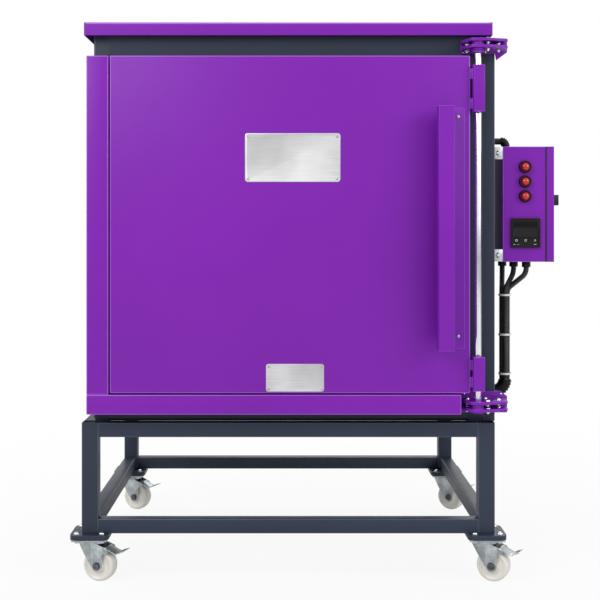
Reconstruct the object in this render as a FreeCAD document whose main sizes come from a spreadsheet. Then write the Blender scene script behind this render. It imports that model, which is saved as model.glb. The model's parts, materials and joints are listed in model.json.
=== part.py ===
import FreeCAD, Part
import math
import os
import re
import Sketcher

# Front-loading electric ceramic kiln on a wheeled stand, millimetres, +Z up.
# Everything is laid out from the stand: X = 0 on its middle, Y = 0 on its front
# face with +Y to the rear, Z = 0 on the floor. Each finished sub-part is then
# placed so that the origin is under the middle of the whole kiln.

os.makedirs("parts", exist_ok=True)
doc = FreeCAD.newDocument("CeramicKiln")
sheet = doc.addObject("Spreadsheet::Sheet", "Sizes")

sizes = {
    # stand of square tube
    "stand_ledge_side": 28,
    "stand_ledge_rear": 26,
    "stand_top": 388,
    "post_size": 40,
    "rail_size": 35,
    "tube_wall": 2.5,
    # castors
    "wheel_radius": 40,
    "wheel_width": 35,
    "wheel_shoulder": 7,
    "hub_radius": 14,
    "hub_side_gap": 0.5,
    "axle_radius": 5,
    "running_gap": 0.05,
    "castor_trail": 23,
    "fork_sheet": 2.5,
    "fork_half_space": 22,
    "fork_head_radius": 31,
    "fork_head_thickness": 7.7,
    "fork_foot_radius": 14,
    "swivel_gap": 0.3,
    "race_radius": 28,
    "race_height": 4,
    "kingpin_radius": 6,
    "kingpin_nut_radius": 9,
    "kingpin_nut_height": 5,
    "castor_plate_width": 85,
    "castor_plate_depth": 105,
    "castor_plate_thickness": 4,
    "castor_height": 108,
    "castor_bolt_spacing_wide": 60,
    "castor_bolt_spacing_deep": 80,
    "castor_bolt_radius": 4,
    "castor_bolt_head_radius": 6.5,
    "castor_bolt_head_height": 5,
    "castor_inset": 20,
    "castor_setback": 33,
    "overlap": 1,
    "mount_plate_width": 93,
    "mount_plate_depth": 113,
    "mount_plate_thickness": 12,
    "plate_corner_radius": 18,
    "fork_nose": 2,
    "fork_ear_reach": 10,
    "fork_ear_drop": 9,
    "fork_ear_rise": 2,
    "fork_web_drop": 14,
    "fork_shoulder": 1,
    "axle_end": 5,
    "axle_nut_height": 4,
    "axle_nut_margin": 3.5,
    "pedal_fold": 0.5,
    "pedal_pivot_ahead": 19,
    "pedal_pivot_height": 81.5,
    "pedal_pin_radius": 2,
    "pedal_sleeve_radius": 3.5,
    "pedal_width": 40,
    "pedal_dip_reach": 28,
    "pedal_dip_drop": 13,
    "pedal_lip_reach": 20,
    "pedal_lip_rise": 8,
    "pedal_sheet": 2.5,
    # body frame, panels and cover
    "body_setback": 26,
    "body_tube": 35,
    "body_foot": 7,
    "sheet_thickness": 2,
    "face_frame_thickness": 3,
    "cover_overhang_side": 23,
    "cover_overhang_rear": 26,
    "cover_flange": 31,
    "column_width": 30,
    "column_depth": 40,
    "column_top_gap": 4,
    # chamber and lining
    "chamber_half_width": 300,
    "chamber_height": 600,
    "chamber_depth": 608,
    "brick_thickness": 115,
    "floor_brick": 77,
    "roof_backing": 45,
    "floor_backing": 50,
    "side_backing": 21.7,
    "rear_backing": 16.7,
    "pan_rise": 0.7,
    "lining_gap": 0.3,
    "mouth_margin": 60,
    "hearth_thickness": 20,
    "hearth_margin": 18,
    "element_radius": 6,
    "element_clearance": 0.4,
    "element_pitch": 84,
    "element_first_row": 96,
    "element_front_margin": 50,
    "element_bend": 7.2,
    "element_tail": 30,
    "vent_radius": 25,
    "vent_plug_cap_radius": 42,
    "vent_plug_cap_height": 12,
    "vent_plug_knob_radius": 12,
    "vent_plug_knob_height": 24,
    "vent_plug_taper": 4,
    "vent_plug_length": 150,
    "vent_clearance": 0.4,
    "probe_radius": 5,
    "probe_reach": 60,
    "probe_above_middle": 120,
    "probe_head_radius": 20,
    "probe_head_length": 30,
    # rear terminal cover
    "terminal_cover_side": 73.6,
    "terminal_cover_depth": 60,
    "terminal_cover_margin": 60,
    "louvre_height": 8,
    "louvre_length": 180,
    "louvre_pitch": 30,
    # door, trims and gasket
    "front_standoff": 49,
    "door_latch_inset": 47,
    "door_hinge_inset": 39,
    "door_below_chamber": 94,
    "door_above_chamber": 110,
    "door_sheet": 2,
    "seam_gap": 3.5,
    "gasket_gap": 8,
    "gasket_width": 14,
    "gasket_margin": 12,
    "plug_margin": 12,
    "plug_depth": 40,
    "plug_taper": 14,
    "trim_overhang": 9,
    "trim_sheet": 2,
    "sill_above_stand": 27,
    "sill_hinge_gap": 21,
    # hinge line
    "hinge_from_door": 19.5,
    "hinge_setback": 7,
    "hinge_rod_radius": 8,
    "hinge_block_width": 28,
    "hinge_block_depth": 44,
    "upper_block_length": 111,
    "upper_block_drop": 23,
    "lower_block_length": 81,
    "lower_block_rise": 6,
    "block_lug_inset": 8,
    "block_lug_height": 24,
    "block_lug_depth": 12,
    # hinge brackets
    "bracket_reach_left": 32.5,
    "bracket_reach_right": 72.5,
    "bracket_reach_wing": 80.5,
    "bracket_plate": 6,
    "bracket_nose_left": 18,
    "bracket_nose_right": 24,
    "bracket_nose": 20,
    "bracket_left_depth": 40,
    "bracket_right_depth": 62,
    "bracket_corner_radius": 14,
    "bracket_collar_radius": 14,
    "bracket_bolt_radius": 3,
    "bracket_bolt_head_radius": 5.5,
    "bracket_bolt_head_height": 4,
    "bracket_bolt_proud": 2,
    "first_bolt_in": 12,
    "first_bolt_forward": 22,
    "second_bolt_back": 2,
    "third_bolt_in": 20,
    "third_bolt_forward": 38,
    "fourth_bolt_in": 48,
    "fourth_bolt_forward": 14,
    "wing_rise": 4,
    "wing_slope": 3,
    "lobe_inset": 8,
    "rod_below": 4,
    "rod_sink": 1,
    "bracket_hole_gap": 0.2,
    "upper_plate_drop": 15,
    "upper_plate_spacing": 16,
    "upper_back_drop": 27,
    "upper_wing_drop": 43,
    "lower_plate_drop": 20,
    "lower_plate_spacing": 17.5,
    "lower_back_drop": 36,
    "lower_back_rise": 16,
    # handle
    "handle_foot": 107,
    "handle_head": 125,
    "handle_from_hinge": 83,
    "handle_width": 38,
    "handle_standoff": 68,
    "handle_lip": 42,
    "handle_flange": 32,
    "handle_sheet": 3,
    # control box
    "box_standoff": 22.6,
    "box_width": 105.4,
    "box_setback": 40,
    "box_depth": 210,
    "box_below_middle": 84,
    "box_height": 283,
    "box_sheet": 2,
    "box_lip": 10,
    "box_door_gap": 1,
    "box_door_thickness": 18.7,
    "box_hinge_offset": 5,
    "box_hinge_radius": 3.5,
    "box_hinge_pin_radius": 1.5,
    "box_leaf_width": 16,
    "box_leaf_thickness": 2,
    "box_knuckle_length": 16,
    "box_hinge_inset": 40,
    "lock_rise": 152,
    "lock_inset": 30,
    "lock_barrel_depth": 14,
    "lock_spindle_depth": 10,
    "lock_radius": 11,
    "lock_flange_radius": 14,
    "lock_reach": 17,
    "lock_wing": 8,
    "lock_cam_reach": 24,
    "lock_cam_width": 12,
    "lock_cam_thickness": 3,
    "lock_cam_gap": 2,
    "box_bracket_inset": 1,
    "box_bracket_height": 30,
    "box_bracket_sheet": 2.5,
    "box_bracket_leg": 24,
    "box_bracket_setback": 2,
    # things on the control box's front
    "lamp_from_left": 53.4,
    "lamp_rise": 161,
    "lamp_pitch": 36,
    "lamp_radius": 14.2,
    "lamp_proud": 12,
    "bezel_floor": 2,
    "lens_edge": 4,
    "lens_crown": 1,
    "lens_radius": 10.3,
    "lens_proud": 16,
    "lens_gap": 0.2,
    "lamp_body_radius": 11,
    "lamp_body_length": 45,
    "controller_size": 72,
    "controller_from_left": 54.1,
    "controller_rise": 71,
    "controller_proud": 6,
    "controller_body": 67,
    "controller_body_depth": 80,
    "cutout_gap": 0.3,
    "key_width": 10,
    "key_height": 7,
    "key_pitch": 22.5,
    "key_drop": 18,
    "key_travel": 0.8,
    "key_proud": 1.2,
    "key_gap": 0.2,
    # gear on the control box's rear wall
    "contactor_inset": 4,
    "contactor_step_depth": 0.4,
    "contactor_step_height": 0.25,
    "gear_plate_margin": 14,
    "gear_plate_thickness": 2,
    "contactor_width": 45,
    "contactor_height": 80,
    "contactor_depth": 80,
    "relay_height": 58,
    "relay_depth": 32,
    "terminal_height": 26,
    "terminal_depth": 40,
    "gear_spacing": 12,
    # conduits
    "conduit_radius": 6.5,
    "conduit_gap": 0.15,
    "bundle_from_box": 16.4,
    "bundle_y": 110,
    "bundle_bend": 30,
    "bundle_drop": 326,
    "fan_top_drop": 16,
    "fan_drop": 70,
    "fan_bend": 23,
    "front_gland_from_left": 64.4,
    "front_gland_back": 40,
    "middle_gland_from_left": 40.4,
    "middle_gland_back": 80,
    "rear_gland_from_left": 20.4,
    "rear_gland_back": 130,
    "wall_gland_margin": 2,
    "collar_wall": 4,
    "collar_depth": 2,
    "elbow_offset": 2,
    "gland_radius": 11,
    "gland_length": 14,
    "gland_nut": 5,
    "gland_neck_radius": 8.4,
    "tie_width": 5,
    "tie_thickness": 1.6,
    "upper_tie_drop": 87,
    "middle_tie_drop": 186,
    "lower_tie_drop": 284,
    "elbow_radius": 8,
    "elbow_bend": 12,
    "elbow_rise": 25,
    "elbow_foot_height": 4,
    "supply_bore": 8,
    "supply_gland_radius": 14,
    "supply_gland_length": 16,
    "supply_from_bottom": 40,
}

for row, (name, size) in enumerate(sizes.items(), start=1):
    sheet.set(f"A{row}", name)
    sheet.set(f"B{row}", str(size))
    sheet.setAlias(f"B{row}", name)
doc.recompute()

# Places worked out from the sizes, each an expression of sizes and other places.
places = {
    "body_half_width": "lining_outside + side_backing + lining_gap + body_tube",
    "stand_half": "body_half_width + stand_ledge_side",
    "stand_depth": "body_rear + stand_ledge_rear",
    "stand_foot": "castor_height + mount_plate_thickness",
    "castor_x": "stand_half - castor_inset",
    "castor_front_y": "castor_setback",
    "castor_rear_y": "stand_depth - castor_setback",
    "fork_head_top": "castor_height - castor_plate_thickness - race_height - swivel_gap",
    "fork_head_bottom": "fork_head_top - fork_head_thickness",
    "fork_outside": "fork_half_space + fork_sheet",
    "pedal_pivot_x": "castor_trail + pedal_pivot_ahead",
    "body_front": "body_setback",
    "body_rear": "lining_rear + rear_backing + lining_gap + body_tube",
    "body_outside": "body_half_width + sheet_thickness",
    "cover_half_width": "body_half_width + cover_overhang_side",
    "cover_depth": "body_rear + cover_overhang_rear",
    "cover_top": "roof_top + roof_backing + body_tube + sheet_thickness",
    "body_top": "cover_top - sheet_thickness",
    "body_bottom": "stand_top + body_foot",
    "cover_bottom": "cover_top - cover_flange",
    "column_left": "body_outside",
    "column_right": "column_left + column_width",
    "column_rear": "body_front + column_depth",
    "column_top": "cover_bottom - column_top_gap",
    "chamber_floor": "backing_bottom + floor_backing + floor_brick",
    "chamber_top": "chamber_floor + chamber_height",
    "chamber_middle": "chamber_floor + chamber_height / 2",
    "lining_front": "body_front + face_frame_thickness",
    "chamber_rear": "lining_front + chamber_depth",
    "lining_rear": "chamber_rear + brick_thickness",
    "lining_outside": "chamber_half_width + brick_thickness",
    "roof_top": "chamber_top + brick_thickness",
    "floor_brick_bottom": "chamber_floor - floor_brick",
    "backing_bottom": "pan_bottom + sheet_thickness + lining_gap",
    "backing_outside": "body_half_width - body_tube - lining_gap",
    "backing_rear": "body_rear - body_tube - lining_gap",
    "pan_top": "pan_bottom + sheet_thickness",
    "pan_bottom": "body_bottom + body_tube + pan_rise",
    "hearth_top": "chamber_floor + hearth_thickness",
    "groove_half": "element_radius + element_clearance",
    "element_x": "chamber_half_width + groove_half",
    "element_front": "lining_front + element_front_margin",
    "element_end": "body_rear + sheet_thickness + element_tail",
    "terminal_cover_half_width": "element_x + terminal_cover_side",
    "vent_y": "(lining_front + chamber_rear) / 2",
    "probe_z": "chamber_middle + probe_above_middle",
    "door_left": "body_half_width - door_latch_inset",
    "door_right": "body_half_width - door_hinge_inset",
    "door_bottom": "chamber_floor - door_below_chamber",
    "door_top": "chamber_top + door_above_chamber",
    "door_front": "-front_standoff",
    "door_back": "body_front - gasket_gap",
    "hinge_x": "door_right + hinge_from_door",
    "hinge_y": "door_front + hinge_setback",
    "gasket_inside": "chamber_half_width + mouth_margin + gasket_margin",
    "gasket_low": "chamber_floor - mouth_margin - gasket_margin",
    "gasket_high": "chamber_top + mouth_margin + gasket_margin",
    "trim_left": "body_half_width + trim_overhang",
    "trim_right": "door_left + seam_gap",
    "sill_bottom": "stand_top + sill_above_stand",
    "sill_end": "door_right - sill_hinge_gap",
    "sill_top": "door_bottom - seam_gap",
    "trim_top": "door_top",
    "block_front": "hinge_y - hinge_block_depth / 2",
    "block_rear": "hinge_y + hinge_block_depth / 2",
    "block_left": "hinge_x - hinge_block_width / 2",
    "block_right": "hinge_x + hinge_block_width / 2",
    "upper_block_top": "door_top - upper_block_drop",
    "lower_block_bottom": "door_bottom + lower_block_rise",
    "bracket_left": "hinge_x - bracket_reach_left",
    "bracket_right": "hinge_x + bracket_reach_right",
    "bracket_wing": "hinge_x + bracket_reach_wing",
    "bracket_back": "body_front - bracket_plate",
    "upper_plate_top": "cover_bottom - upper_plate_drop",
    "upper_back_bottom": "upper_plate_top - upper_back_drop",
    "upper_wing_bottom": "upper_plate_top - upper_wing_drop",
    "lower_plate_top": "door_bottom - lower_plate_drop",
    "lower_back_bottom": "lower_plate_top - lower_back_drop",
    "lower_back_top": "lower_plate_top + lower_back_rise",
    "bracket_nose_y": "hinge_y - bracket_nose",
    "lower_second_top": "lower_plate_top - lower_plate_spacing",
    "upper_second_top": "upper_plate_top - upper_plate_spacing",
    "rod_bottom": "lower_second_top - bracket_plate - rod_below",
    "rod_top": "upper_plate_top - rod_sink",
    "handle_left": "door_right - handle_from_hinge",
    "handle_bottom": "door_bottom + handle_foot",
    "handle_top": "door_top - handle_head",
    "box_left": "column_right + box_standoff",
    "box_right": "box_left + box_width",
    "box_front": "box_setback",
    "box_rear": "box_front + box_depth",
    "box_bottom": "chamber_middle - box_below_middle",
    "box_top": "box_bottom + box_height",
    "lock_height": "box_bottom + lock_rise",
    "lamp_lowest": "box_bottom + lamp_rise",
    "controller_height": "box_bottom + controller_rise",
    "box_door_left": "box_right + box_door_gap",
    "box_door_right": "box_door_left + box_door_thickness",
    "box_hinge_x": "box_door_left + box_hinge_radius",
    "box_hinge_y": "box_rear + box_hinge_offset",
    "lock_y": "box_front + lock_inset",
    "lamp_x": "box_left + lamp_from_left",
    "controller_x": "box_left + controller_from_left",
    "key_z": "controller_height - key_drop",
    "key_rest_back": "box_front - controller_proud + controller_proud / 2",
    "gear_back": "box_rear - box_sheet",
    "gear_front": "gear_back - gear_plate_thickness",
    "gear_left": "box_left + gear_plate_margin",
    "bundle_x": "box_left + bundle_from_box",
    "bundle_entry_height": "box_bottom - bundle_drop",
    "fan_bottom": "box_bottom - fan_drop",
    "elbow_height": "box_top + elbow_rise",
    "bundle_ring": "(conduit_radius + conduit_gap) * 2 / sqrt(3)",
    "bundle_radius": "bundle_ring + conduit_radius",
    "gland_low": "box_bottom - gland_length",
    "elbow_y": "bundle_y",
    "elbow_x": "bundle_x + elbow_offset",
    "supply_z": "box_bottom + supply_from_bottom",
    "supply_x": "box_left + box_width / 2",
    "whole_left": "-castor_x - mount_plate_width / 2",
    "whole_right": "box_door_right + lock_reach",
    "whole_front": "door_front - handle_standoff",
    "whole_rear": "body_rear + sheet_thickness + terminal_cover_depth",
    "origin_x": "(whole_left + whole_right) / 2",
    "origin_y": "(whole_front + whole_rear) / 2",
}

word = re.compile(r"[a-z][a-z0-9_]*")


def spell(text):
    """Spells an expression out down to the cells of the sheet."""
    def swap(match):
        name = match.group(0)
        if name in places:
            return "(" + spell(places[name]) + ")"
        return "Sizes." + name if name in sizes else name
    return word.sub(swap, str(text))


def value(text):
    """The number that an expression comes to now."""
    return float(sheet.evalExpression(spell(text)))


def bind(item, field, text):
    item.setExpression(field, spell(text))


def box(name, x, y, z):
    """A block between two faces each way, every face an expression."""
    block = doc.addObject("Part::Box", name)
    for axis, side, (low, high) in zip("xyz", ("Length", "Width", "Height"), (x, y, z)):
        bind(block, side, f"({high}) - ({low})")
        bind(block, f".Placement.Base.{axis}", low)
    return block


turns = {
    "x": FreeCAD.Rotation(FreeCAD.Vector(0, 1, 0), 90),
    "y": FreeCAD.Rotation(FreeCAD.Vector(1, 0, 0), -90),
    "z": FreeCAD.Rotation(),
}


def cylinder(name, axis, radius, centre, low, high):
    """A round bar along an axis, from low to high, centred on the two other places."""
    bar = doc.addObject("Part::Cylinder", name)
    bar.Placement = FreeCAD.Placement(FreeCAD.Vector(), turns[axis])
    bind(bar, "Radius", radius)
    bind(bar, "Height", f"({high}) - ({low})")
    across = [letter for letter in "xyz" if letter != axis]
    for letter, place in zip(across, centre):
        bind(bar, f".Placement.Base.{letter}", place)
    bind(bar, f".Placement.Base.{axis}", low)
    return bar


def hexagon(name, axis, radius, centre, low, high):
    """A six-sided nut or bolt head along an axis."""
    nut = doc.addObject("Part::Prism", name)
    nut.Polygon = 6
    nut.Placement = FreeCAD.Placement(FreeCAD.Vector(), turns[axis])
    bind(nut, "Circumradius", radius)
    bind(nut, "Height", f"({high}) - ({low})")
    across = [letter for letter in "xyz" if letter != axis]
    for letter, place in zip(across, centre):
        bind(nut, f".Placement.Base.{letter}", place)
    bind(nut, f".Placement.Base.{axis}", low)
    return nut


def gather(name, pieces):
    """Several separate solids as one object."""
    pile = doc.addObject("Part::Compound", name)
    pile.Links = pieces
    return pile


def fuse(name, pieces):
    joined = doc.addObject("Part::MultiFuse", name)
    joined.Shapes = pieces
    joined.Refine = True
    return joined


def cut(name, base, tools):
    tool = tools[0] if len(tools) == 1 else fuse(name + "Tools", tools)
    rest = doc.addObject("Part::Cut", name)
    rest.Base = base
    rest.Tool = tool
    return rest


def square_tube(name, axis, x, y, z, wall):
    """A hollow tube between two faces each way, open at both ends of its axis."""
    inside = []
    for letter, (low, high) in zip("xyz", (x, y, z)):
        grow = 0 if letter == axis else wall
        inside.append((f"({low}) + {grow}", f"({high}) - {grow}"))
    return cut(name, box(name + "Outside", x, y, z), [box(name + "Inside", *inside)])


def sketch_on(body, name, plane, offset):
    """An empty sketch on one of the body's own origin planes, moved along its normal."""
    drawing = body.newObject("Sketcher::SketchObject", name)
    support = [item for item in body.Origin.OriginFeatures if item.Role == plane][0]
    drawing.AttachmentSupport = [(support, "")]
    drawing.MapMode = "FlatFace"
    bind(drawing, ".AttachmentOffset.Base.z", offset)
    return drawing


def pin_point(drawing, line, end, x, y):
    """Ties one end of a line to its place by two dimensions bound to the sheet."""
    for kind, place in (("DistanceX", x), ("DistanceY", y)):
        number = drawing.addConstraint(Sketcher.Constraint(kind, -1, 1, line, end, value(place)))
        drawing.setExpression(f"Constraints[{number}]", spell(place))


def draw_outline(drawing, corners):
    """A closed outline of straight lines through corners given as expressions."""
    spots = [FreeCAD.Vector(value(x), value(y), 0) for x, y in corners]
    first = drawing.GeometryCount
    count = len(spots)
    for i in range(count):
        drawing.addGeometry(Part.LineSegment(spots[i], spots[(i + 1) % count]), False)
    for i in range(count):
        drawing.addConstraint(
            Sketcher.Constraint("Coincident", first + i, 2, first + (i + 1) % count, 1))
    for i, (x, y) in enumerate(corners):
        pin_point(drawing, first + i, 1, x, y)


def draw_circle(drawing, x, y, radius):
    centre = FreeCAD.Vector(value(x), value(y), 0)
    ring = drawing.addGeometry(Part.Circle(centre, FreeCAD.Vector(0, 0, 1), value(radius)), False)
    pin_point(drawing, ring, 3, x, y)
    number = drawing.addConstraint(Sketcher.Constraint("Radius", ring, value(radius)))
    drawing.setExpression(f"Constraints[{number}]", spell(radius))


def padded(body, name, plane, outline, low, high, circles=()):
    """Adds to a body the outline pushed from low to high along the plane's axis."""
    backwards = plane == "XZ_Plane"
    drawing = sketch_on(body, name + "Sketch", plane, f"-({low})" if backwards else low)
    if outline:
        draw_outline(drawing, outline)
    for x, y, radius in circles:
        draw_circle(drawing, x, y, radius)
    pad = body.newObject("PartDesign::Pad", name)
    pad.Profile = drawing
    pad.Reversed = backwards
    bind(pad, "Length", f"({high}) - ({low})")
    drawing.Visibility = False
    return pad


def pocketed(body, name, plane, outline, low, high, circles=()):
    """Takes out of a body the outline between low and high along the plane's axis."""
    backwards = plane == "XZ_Plane"
    drawing = sketch_on(body, name + "Sketch", plane, f"-({low})" if backwards else low)
    if outline:
        draw_outline(drawing, outline)
    for x, y, radius in circles:
        draw_circle(drawing, x, y, radius)
    pocket = body.newObject("PartDesign::Pocket", name)
    pocket.Profile = drawing
    pocket.Reversed = not backwards
    bind(pocket, "Length", f"({high}) - ({low})")
    return pocket


def new_body(name):
    return doc.addObject("PartDesign::Body", name)


def round_upright_edges(body, name, corners, radius):
    """Rounds the edges along Z that stand on the given corners."""
    doc.recompute()
    base = body.Tip
    picked = []
    for number, edge in enumerate(base.Shape.Edges, start=1):
        ends = [vertex.Point for vertex in edge.Vertexes]
        if len(ends) < 2 or abs(ends[0].z - ends[1].z) < 0.5:
            continue
        for x, y in corners:
            spot = FreeCAD.Vector(value(x), value(y), 0)
            if all(math.hypot(end.x - spot.x, end.y - spot.y) < 0.01 for end in ends):
                picked.append(f"Edge{number}")
    rounding = body.newObject("PartDesign::Fillet", name)
    rounding.Base = (base, picked)
    bind(rounding, "Radius", radius)
    return rounding


finished = []


def sub_part(label, pieces):
    """One named sub-part, moved as a whole so that the origin is under the kiln's middle."""
    part = pieces[0] if len(pieces) == 1 and pieces[0].TypeId != "Part::Box" else None
    if part is None or part.TypeId in ("Part::Cylinder", "Part::Feature"):
        part = gather(label + "_group", pieces)
    bind(part, ".Placement.Base.x", "-origin_x")
    bind(part, ".Placement.Base.y", "-origin_y")
    part.Label = label
    finished.append(part)
    return part


def castor_part(label, piece, x, y, yaw):
    """A sub-part drawn round a castor's kingpin, set under its corner and turned."""
    piece.Placement = FreeCAD.Placement(
        FreeCAD.Vector(), FreeCAD.Rotation(FreeCAD.Vector(0, 0, 1), -yaw))
    bind(piece, ".Placement.Base.x", f"({x}) - origin_x")
    bind(piece, ".Placement.Base.y", f"({y}) - origin_y")
    piece.Label = label
    finished.append(piece)


def route(points, bends):
    """Straight runs joined by tangent arcs; each inner point has its bend radius."""
    edges = []
    start = points[0]
    for i in range(1, len(points) - 1):
        before = (points[i - 1] - points[i]).normalize()
        after = (points[i + 1] - points[i]).normalize()
        half = before.getAngle(after) / 2
        reach = bends[i - 1] / math.tan(half)
        first = points[i] + before * reach
        last = points[i] + after * reach
        bisector = (before + after).normalize()
        middle = points[i] + bisector * (bends[i - 1] / math.sin(half) - bends[i - 1])
        edges.append(Part.LineSegment(start, first).toShape())
        edges.append(Part.Arc(first, middle, last).toShape())
        start = last
    edges.append(Part.LineSegment(start, points[-1]).toShape())
    return Part.Wire(edges)


def fitted_bends(points):
    """The widest bend that the two runs beside each inner point leave room for."""
    bends = []
    for i in range(1, len(points) - 1):
        before = points[i - 1] - points[i]
        after = points[i + 1] - points[i]
        turn = math.pi - before.getAngle(after)
        bends.append(0.45 * min(before.Length, after.Length) / math.tan(turn / 2))
    return bends


def hose(name, points, bends, radius):
    """A round hose along a route, as a closed solid."""
    spine = route(points, bends)
    ring = Part.Wire([Part.makeCircle(radius, points[0], points[1] - points[0])])
    shape = spine.makePipeShell([ring], True, True)
    expected = math.pi * radius ** 2 * spine.Length
    print(name, "volume share", round(shape.Volume / expected, 4),
          "bends", [round(bend, 1) for bend in bends])
    item = doc.addObject("Part::Feature", name)
    item.Shape = shape
    return item


def mirrored_pair(low, high):
    """The same span on the left and on the right of the middle."""
    return ((f"-({high})", f"-({low})"), (low, high))


# Stand: four corner posts with two rings of rails
front_rail_y = ("0", "rail_size")
rear_rail_y = ("stand_depth - rail_size", "stand_depth")
post_spans_y = (("0", "post_size"), ("stand_depth - post_size", "stand_depth"))
post_spans_x = mirrored_pair("stand_half - post_size", "stand_half")
posts = []
for number, (x, y) in enumerate([(x, y) for x in post_spans_x for y in post_spans_y]):
    posts.append(square_tube(f"Post{number}", "z", x, y, ("stand_foot", "stand_top"), "tube_wall"))
sub_part("stand_corner_posts", posts)


def ring_of_rails(label, low, high):
    """Four rails between the posts, flush with the posts' outer faces."""
    rails = []
    between_x = ("-(stand_half - post_size)", "stand_half - post_size")
    between_y = ("post_size", "stand_depth - post_size")
    for number, y in enumerate((front_rail_y, rear_rail_y)):
        rails.append(square_tube(f"{label}Along{number}", "x", between_x, y, (low, high), "tube_wall"))
    for number, x in enumerate(mirrored_pair("stand_half - rail_size", "stand_half")):
        rails.append(square_tube(f"{label}Across{number}", "y", x, between_y, (low, high), "tube_wall"))
    sub_part(label, rails)


ring_of_rails("stand_top_rails", "stand_top - rail_size", "stand_top")
ring_of_rails("stand_bottom_rails", "stand_foot", "stand_foot + rail_size")

# Castors: each corner's kingpin place, and how far its wheel trails to the right and front
corners = {
    "front_left": ("-castor_x", "castor_front_y", 16),
    "front_right": ("castor_x", "castor_front_y", 25),
    "rear_left": ("-castor_x", "castor_rear_y", 22),
    "rear_right": ("castor_x", "castor_rear_y", 32),
}


def bolt_places(x, y):
    """The four bolts of a castor plate."""
    wide = "castor_bolt_spacing_wide / 2"
    deep = "castor_bolt_spacing_deep / 2"
    return [(f"{x} {side} {wide}", f"{y} {end} {deep}") for side in "-+" for end in "-+"]


def rectangle(x, y, width, depth):
    """The corners of a rectangle round a middle."""
    return [(f"{x} - {width} / 2", f"{y} - {depth} / 2"), (f"{x} + {width} / 2", f"{y} - {depth} / 2"),
            (f"{x} + {width} / 2", f"{y} + {depth} / 2"), (f"{x} - {width} / 2", f"{y} + {depth} / 2")]


mounting_plates = []
castor_plates = []
plate_bolts = []
for corner, (x, y, yaw) in corners.items():
    holes = [(hx, hy, "castor_bolt_radius + bracket_hole_gap") for hx, hy in bolt_places(x, y)]
    outline = rectangle(x, y, "mount_plate_width", "mount_plate_depth")
    plate = new_body("MountingPlate_" + corner)
    padded(plate, "Plate_" + corner, "XY_Plane", outline, "castor_height", "stand_foot", holes)
    round_upright_edges(plate, "PlateCorners_" + corner, outline, "plate_corner_radius")
    mounting_plates.append(plate)

    top = new_body("CastorPlate_" + corner)
    outline = rectangle(x, y, "castor_plate_width", "castor_plate_depth")
    plate_bottom = "castor_height - castor_plate_thickness"
    padded(top, "TopPlate_" + corner, "XY_Plane", outline, plate_bottom, "castor_height", holes)
    race_bottom = f"{plate_bottom} - race_height"
    padded(top, "Race_" + corner, "XY_Plane", None, race_bottom, plate_bottom, [(x, y, "race_radius")])
    nut_top = "fork_head_bottom - swivel_gap"
    padded(top, "Kingpin_" + corner, "XY_Plane", None, nut_top, race_bottom,
           [(x, y, "kingpin_radius")])
    padded(top, "KingpinNut_" + corner, "XY_Plane", None, f"{nut_top} - kingpin_nut_height", nut_top,
           [(x, y, "kingpin_nut_radius")])
    castor_plates.append(top)

    for number, centre in enumerate(bolt_places(x, y)):
        name = f"PlateBolt_{corner}_{number}"
        shank = cylinder(name + "Shank", "z", "castor_bolt_radius", centre,
                         f"{plate_bottom} - castor_bolt_head_height", "stand_foot + overlap")
        head = hexagon(name + "Head", "z", "castor_bolt_head_radius", centre,
                       "stand_foot", "stand_foot + castor_bolt_head_height")
        nut = hexagon(name + "Nut", "z", "castor_bolt_head_radius", centre,
                      f"{plate_bottom} - castor_bolt_head_height", plate_bottom)
        plate_bolts.append(fuse(name, [shank, head, nut]))
sub_part("caster_mounting_plates", mounting_plates)
sub_part("caster_top_plates", castor_plates)
sub_part("caster_plate_bolts", plate_bolts)


def cheek_outline():
    """One side of the fork, seen from the side with the wheel trailing to the right."""
    ear_x = "pedal_pivot_x + fork_ear_reach"
    return [
        ("-fork_head_radius + fork_shoulder", "fork_head_top"),
        ("castor_trail - fork_foot_radius", "wheel_radius - fork_nose"),
        ("castor_trail - fork_foot_radius / 2", "wheel_radius - fork_foot_radius"),
        ("castor_trail + fork_foot_radius / 2", "wheel_radius - fork_foot_radius"),
        ("castor_trail + fork_foot_radius", "wheel_radius"),
        ("castor_trail + fork_foot_radius", "pedal_pivot_height - fork_web_drop"),
        (ear_x, "pedal_pivot_height - fork_ear_drop"),
        (ear_x, "pedal_pivot_height + fork_ear_rise"),
        ("fork_foot_radius / 2", "fork_head_top"),
    ]


def fork_body(corner):
    """Swivel head, two cheeks, axle bolt with its nuts, and the pedal's pin."""
    fork = new_body("Fork_" + corner)
    padded(fork, "Head_" + corner, "XY_Plane", None, "fork_head_bottom", "fork_head_top",
           [("0", "0", "fork_head_radius"), ("0", "0", "kingpin_radius + running_gap")])
    for side, (low, high) in enumerate(mirrored_pair("fork_half_space", "fork_outside")):
        padded(fork, f"Cheek{side}_{corner}", "XZ_Plane", cheek_outline(), low, high)
    padded(fork, "Axle_" + corner, "XZ_Plane", None, "-fork_outside - axle_end", "fork_outside + axle_end",
           [("castor_trail", "wheel_radius", "axle_radius")])
    for side, (low, high) in enumerate(mirrored_pair("fork_outside", "fork_outside + axle_nut_height")):
        padded(fork, f"AxleNut{side}_{corner}", "XZ_Plane", None, low, high,
               [("castor_trail", "wheel_radius", "axle_radius + axle_nut_margin")])
    padded(fork, "PedalPin_" + corner, "XZ_Plane", None, "-fork_outside", "fork_outside",
           [("pedal_pivot_x", "pedal_pivot_height", "pedal_pin_radius")])
    return fork


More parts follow.
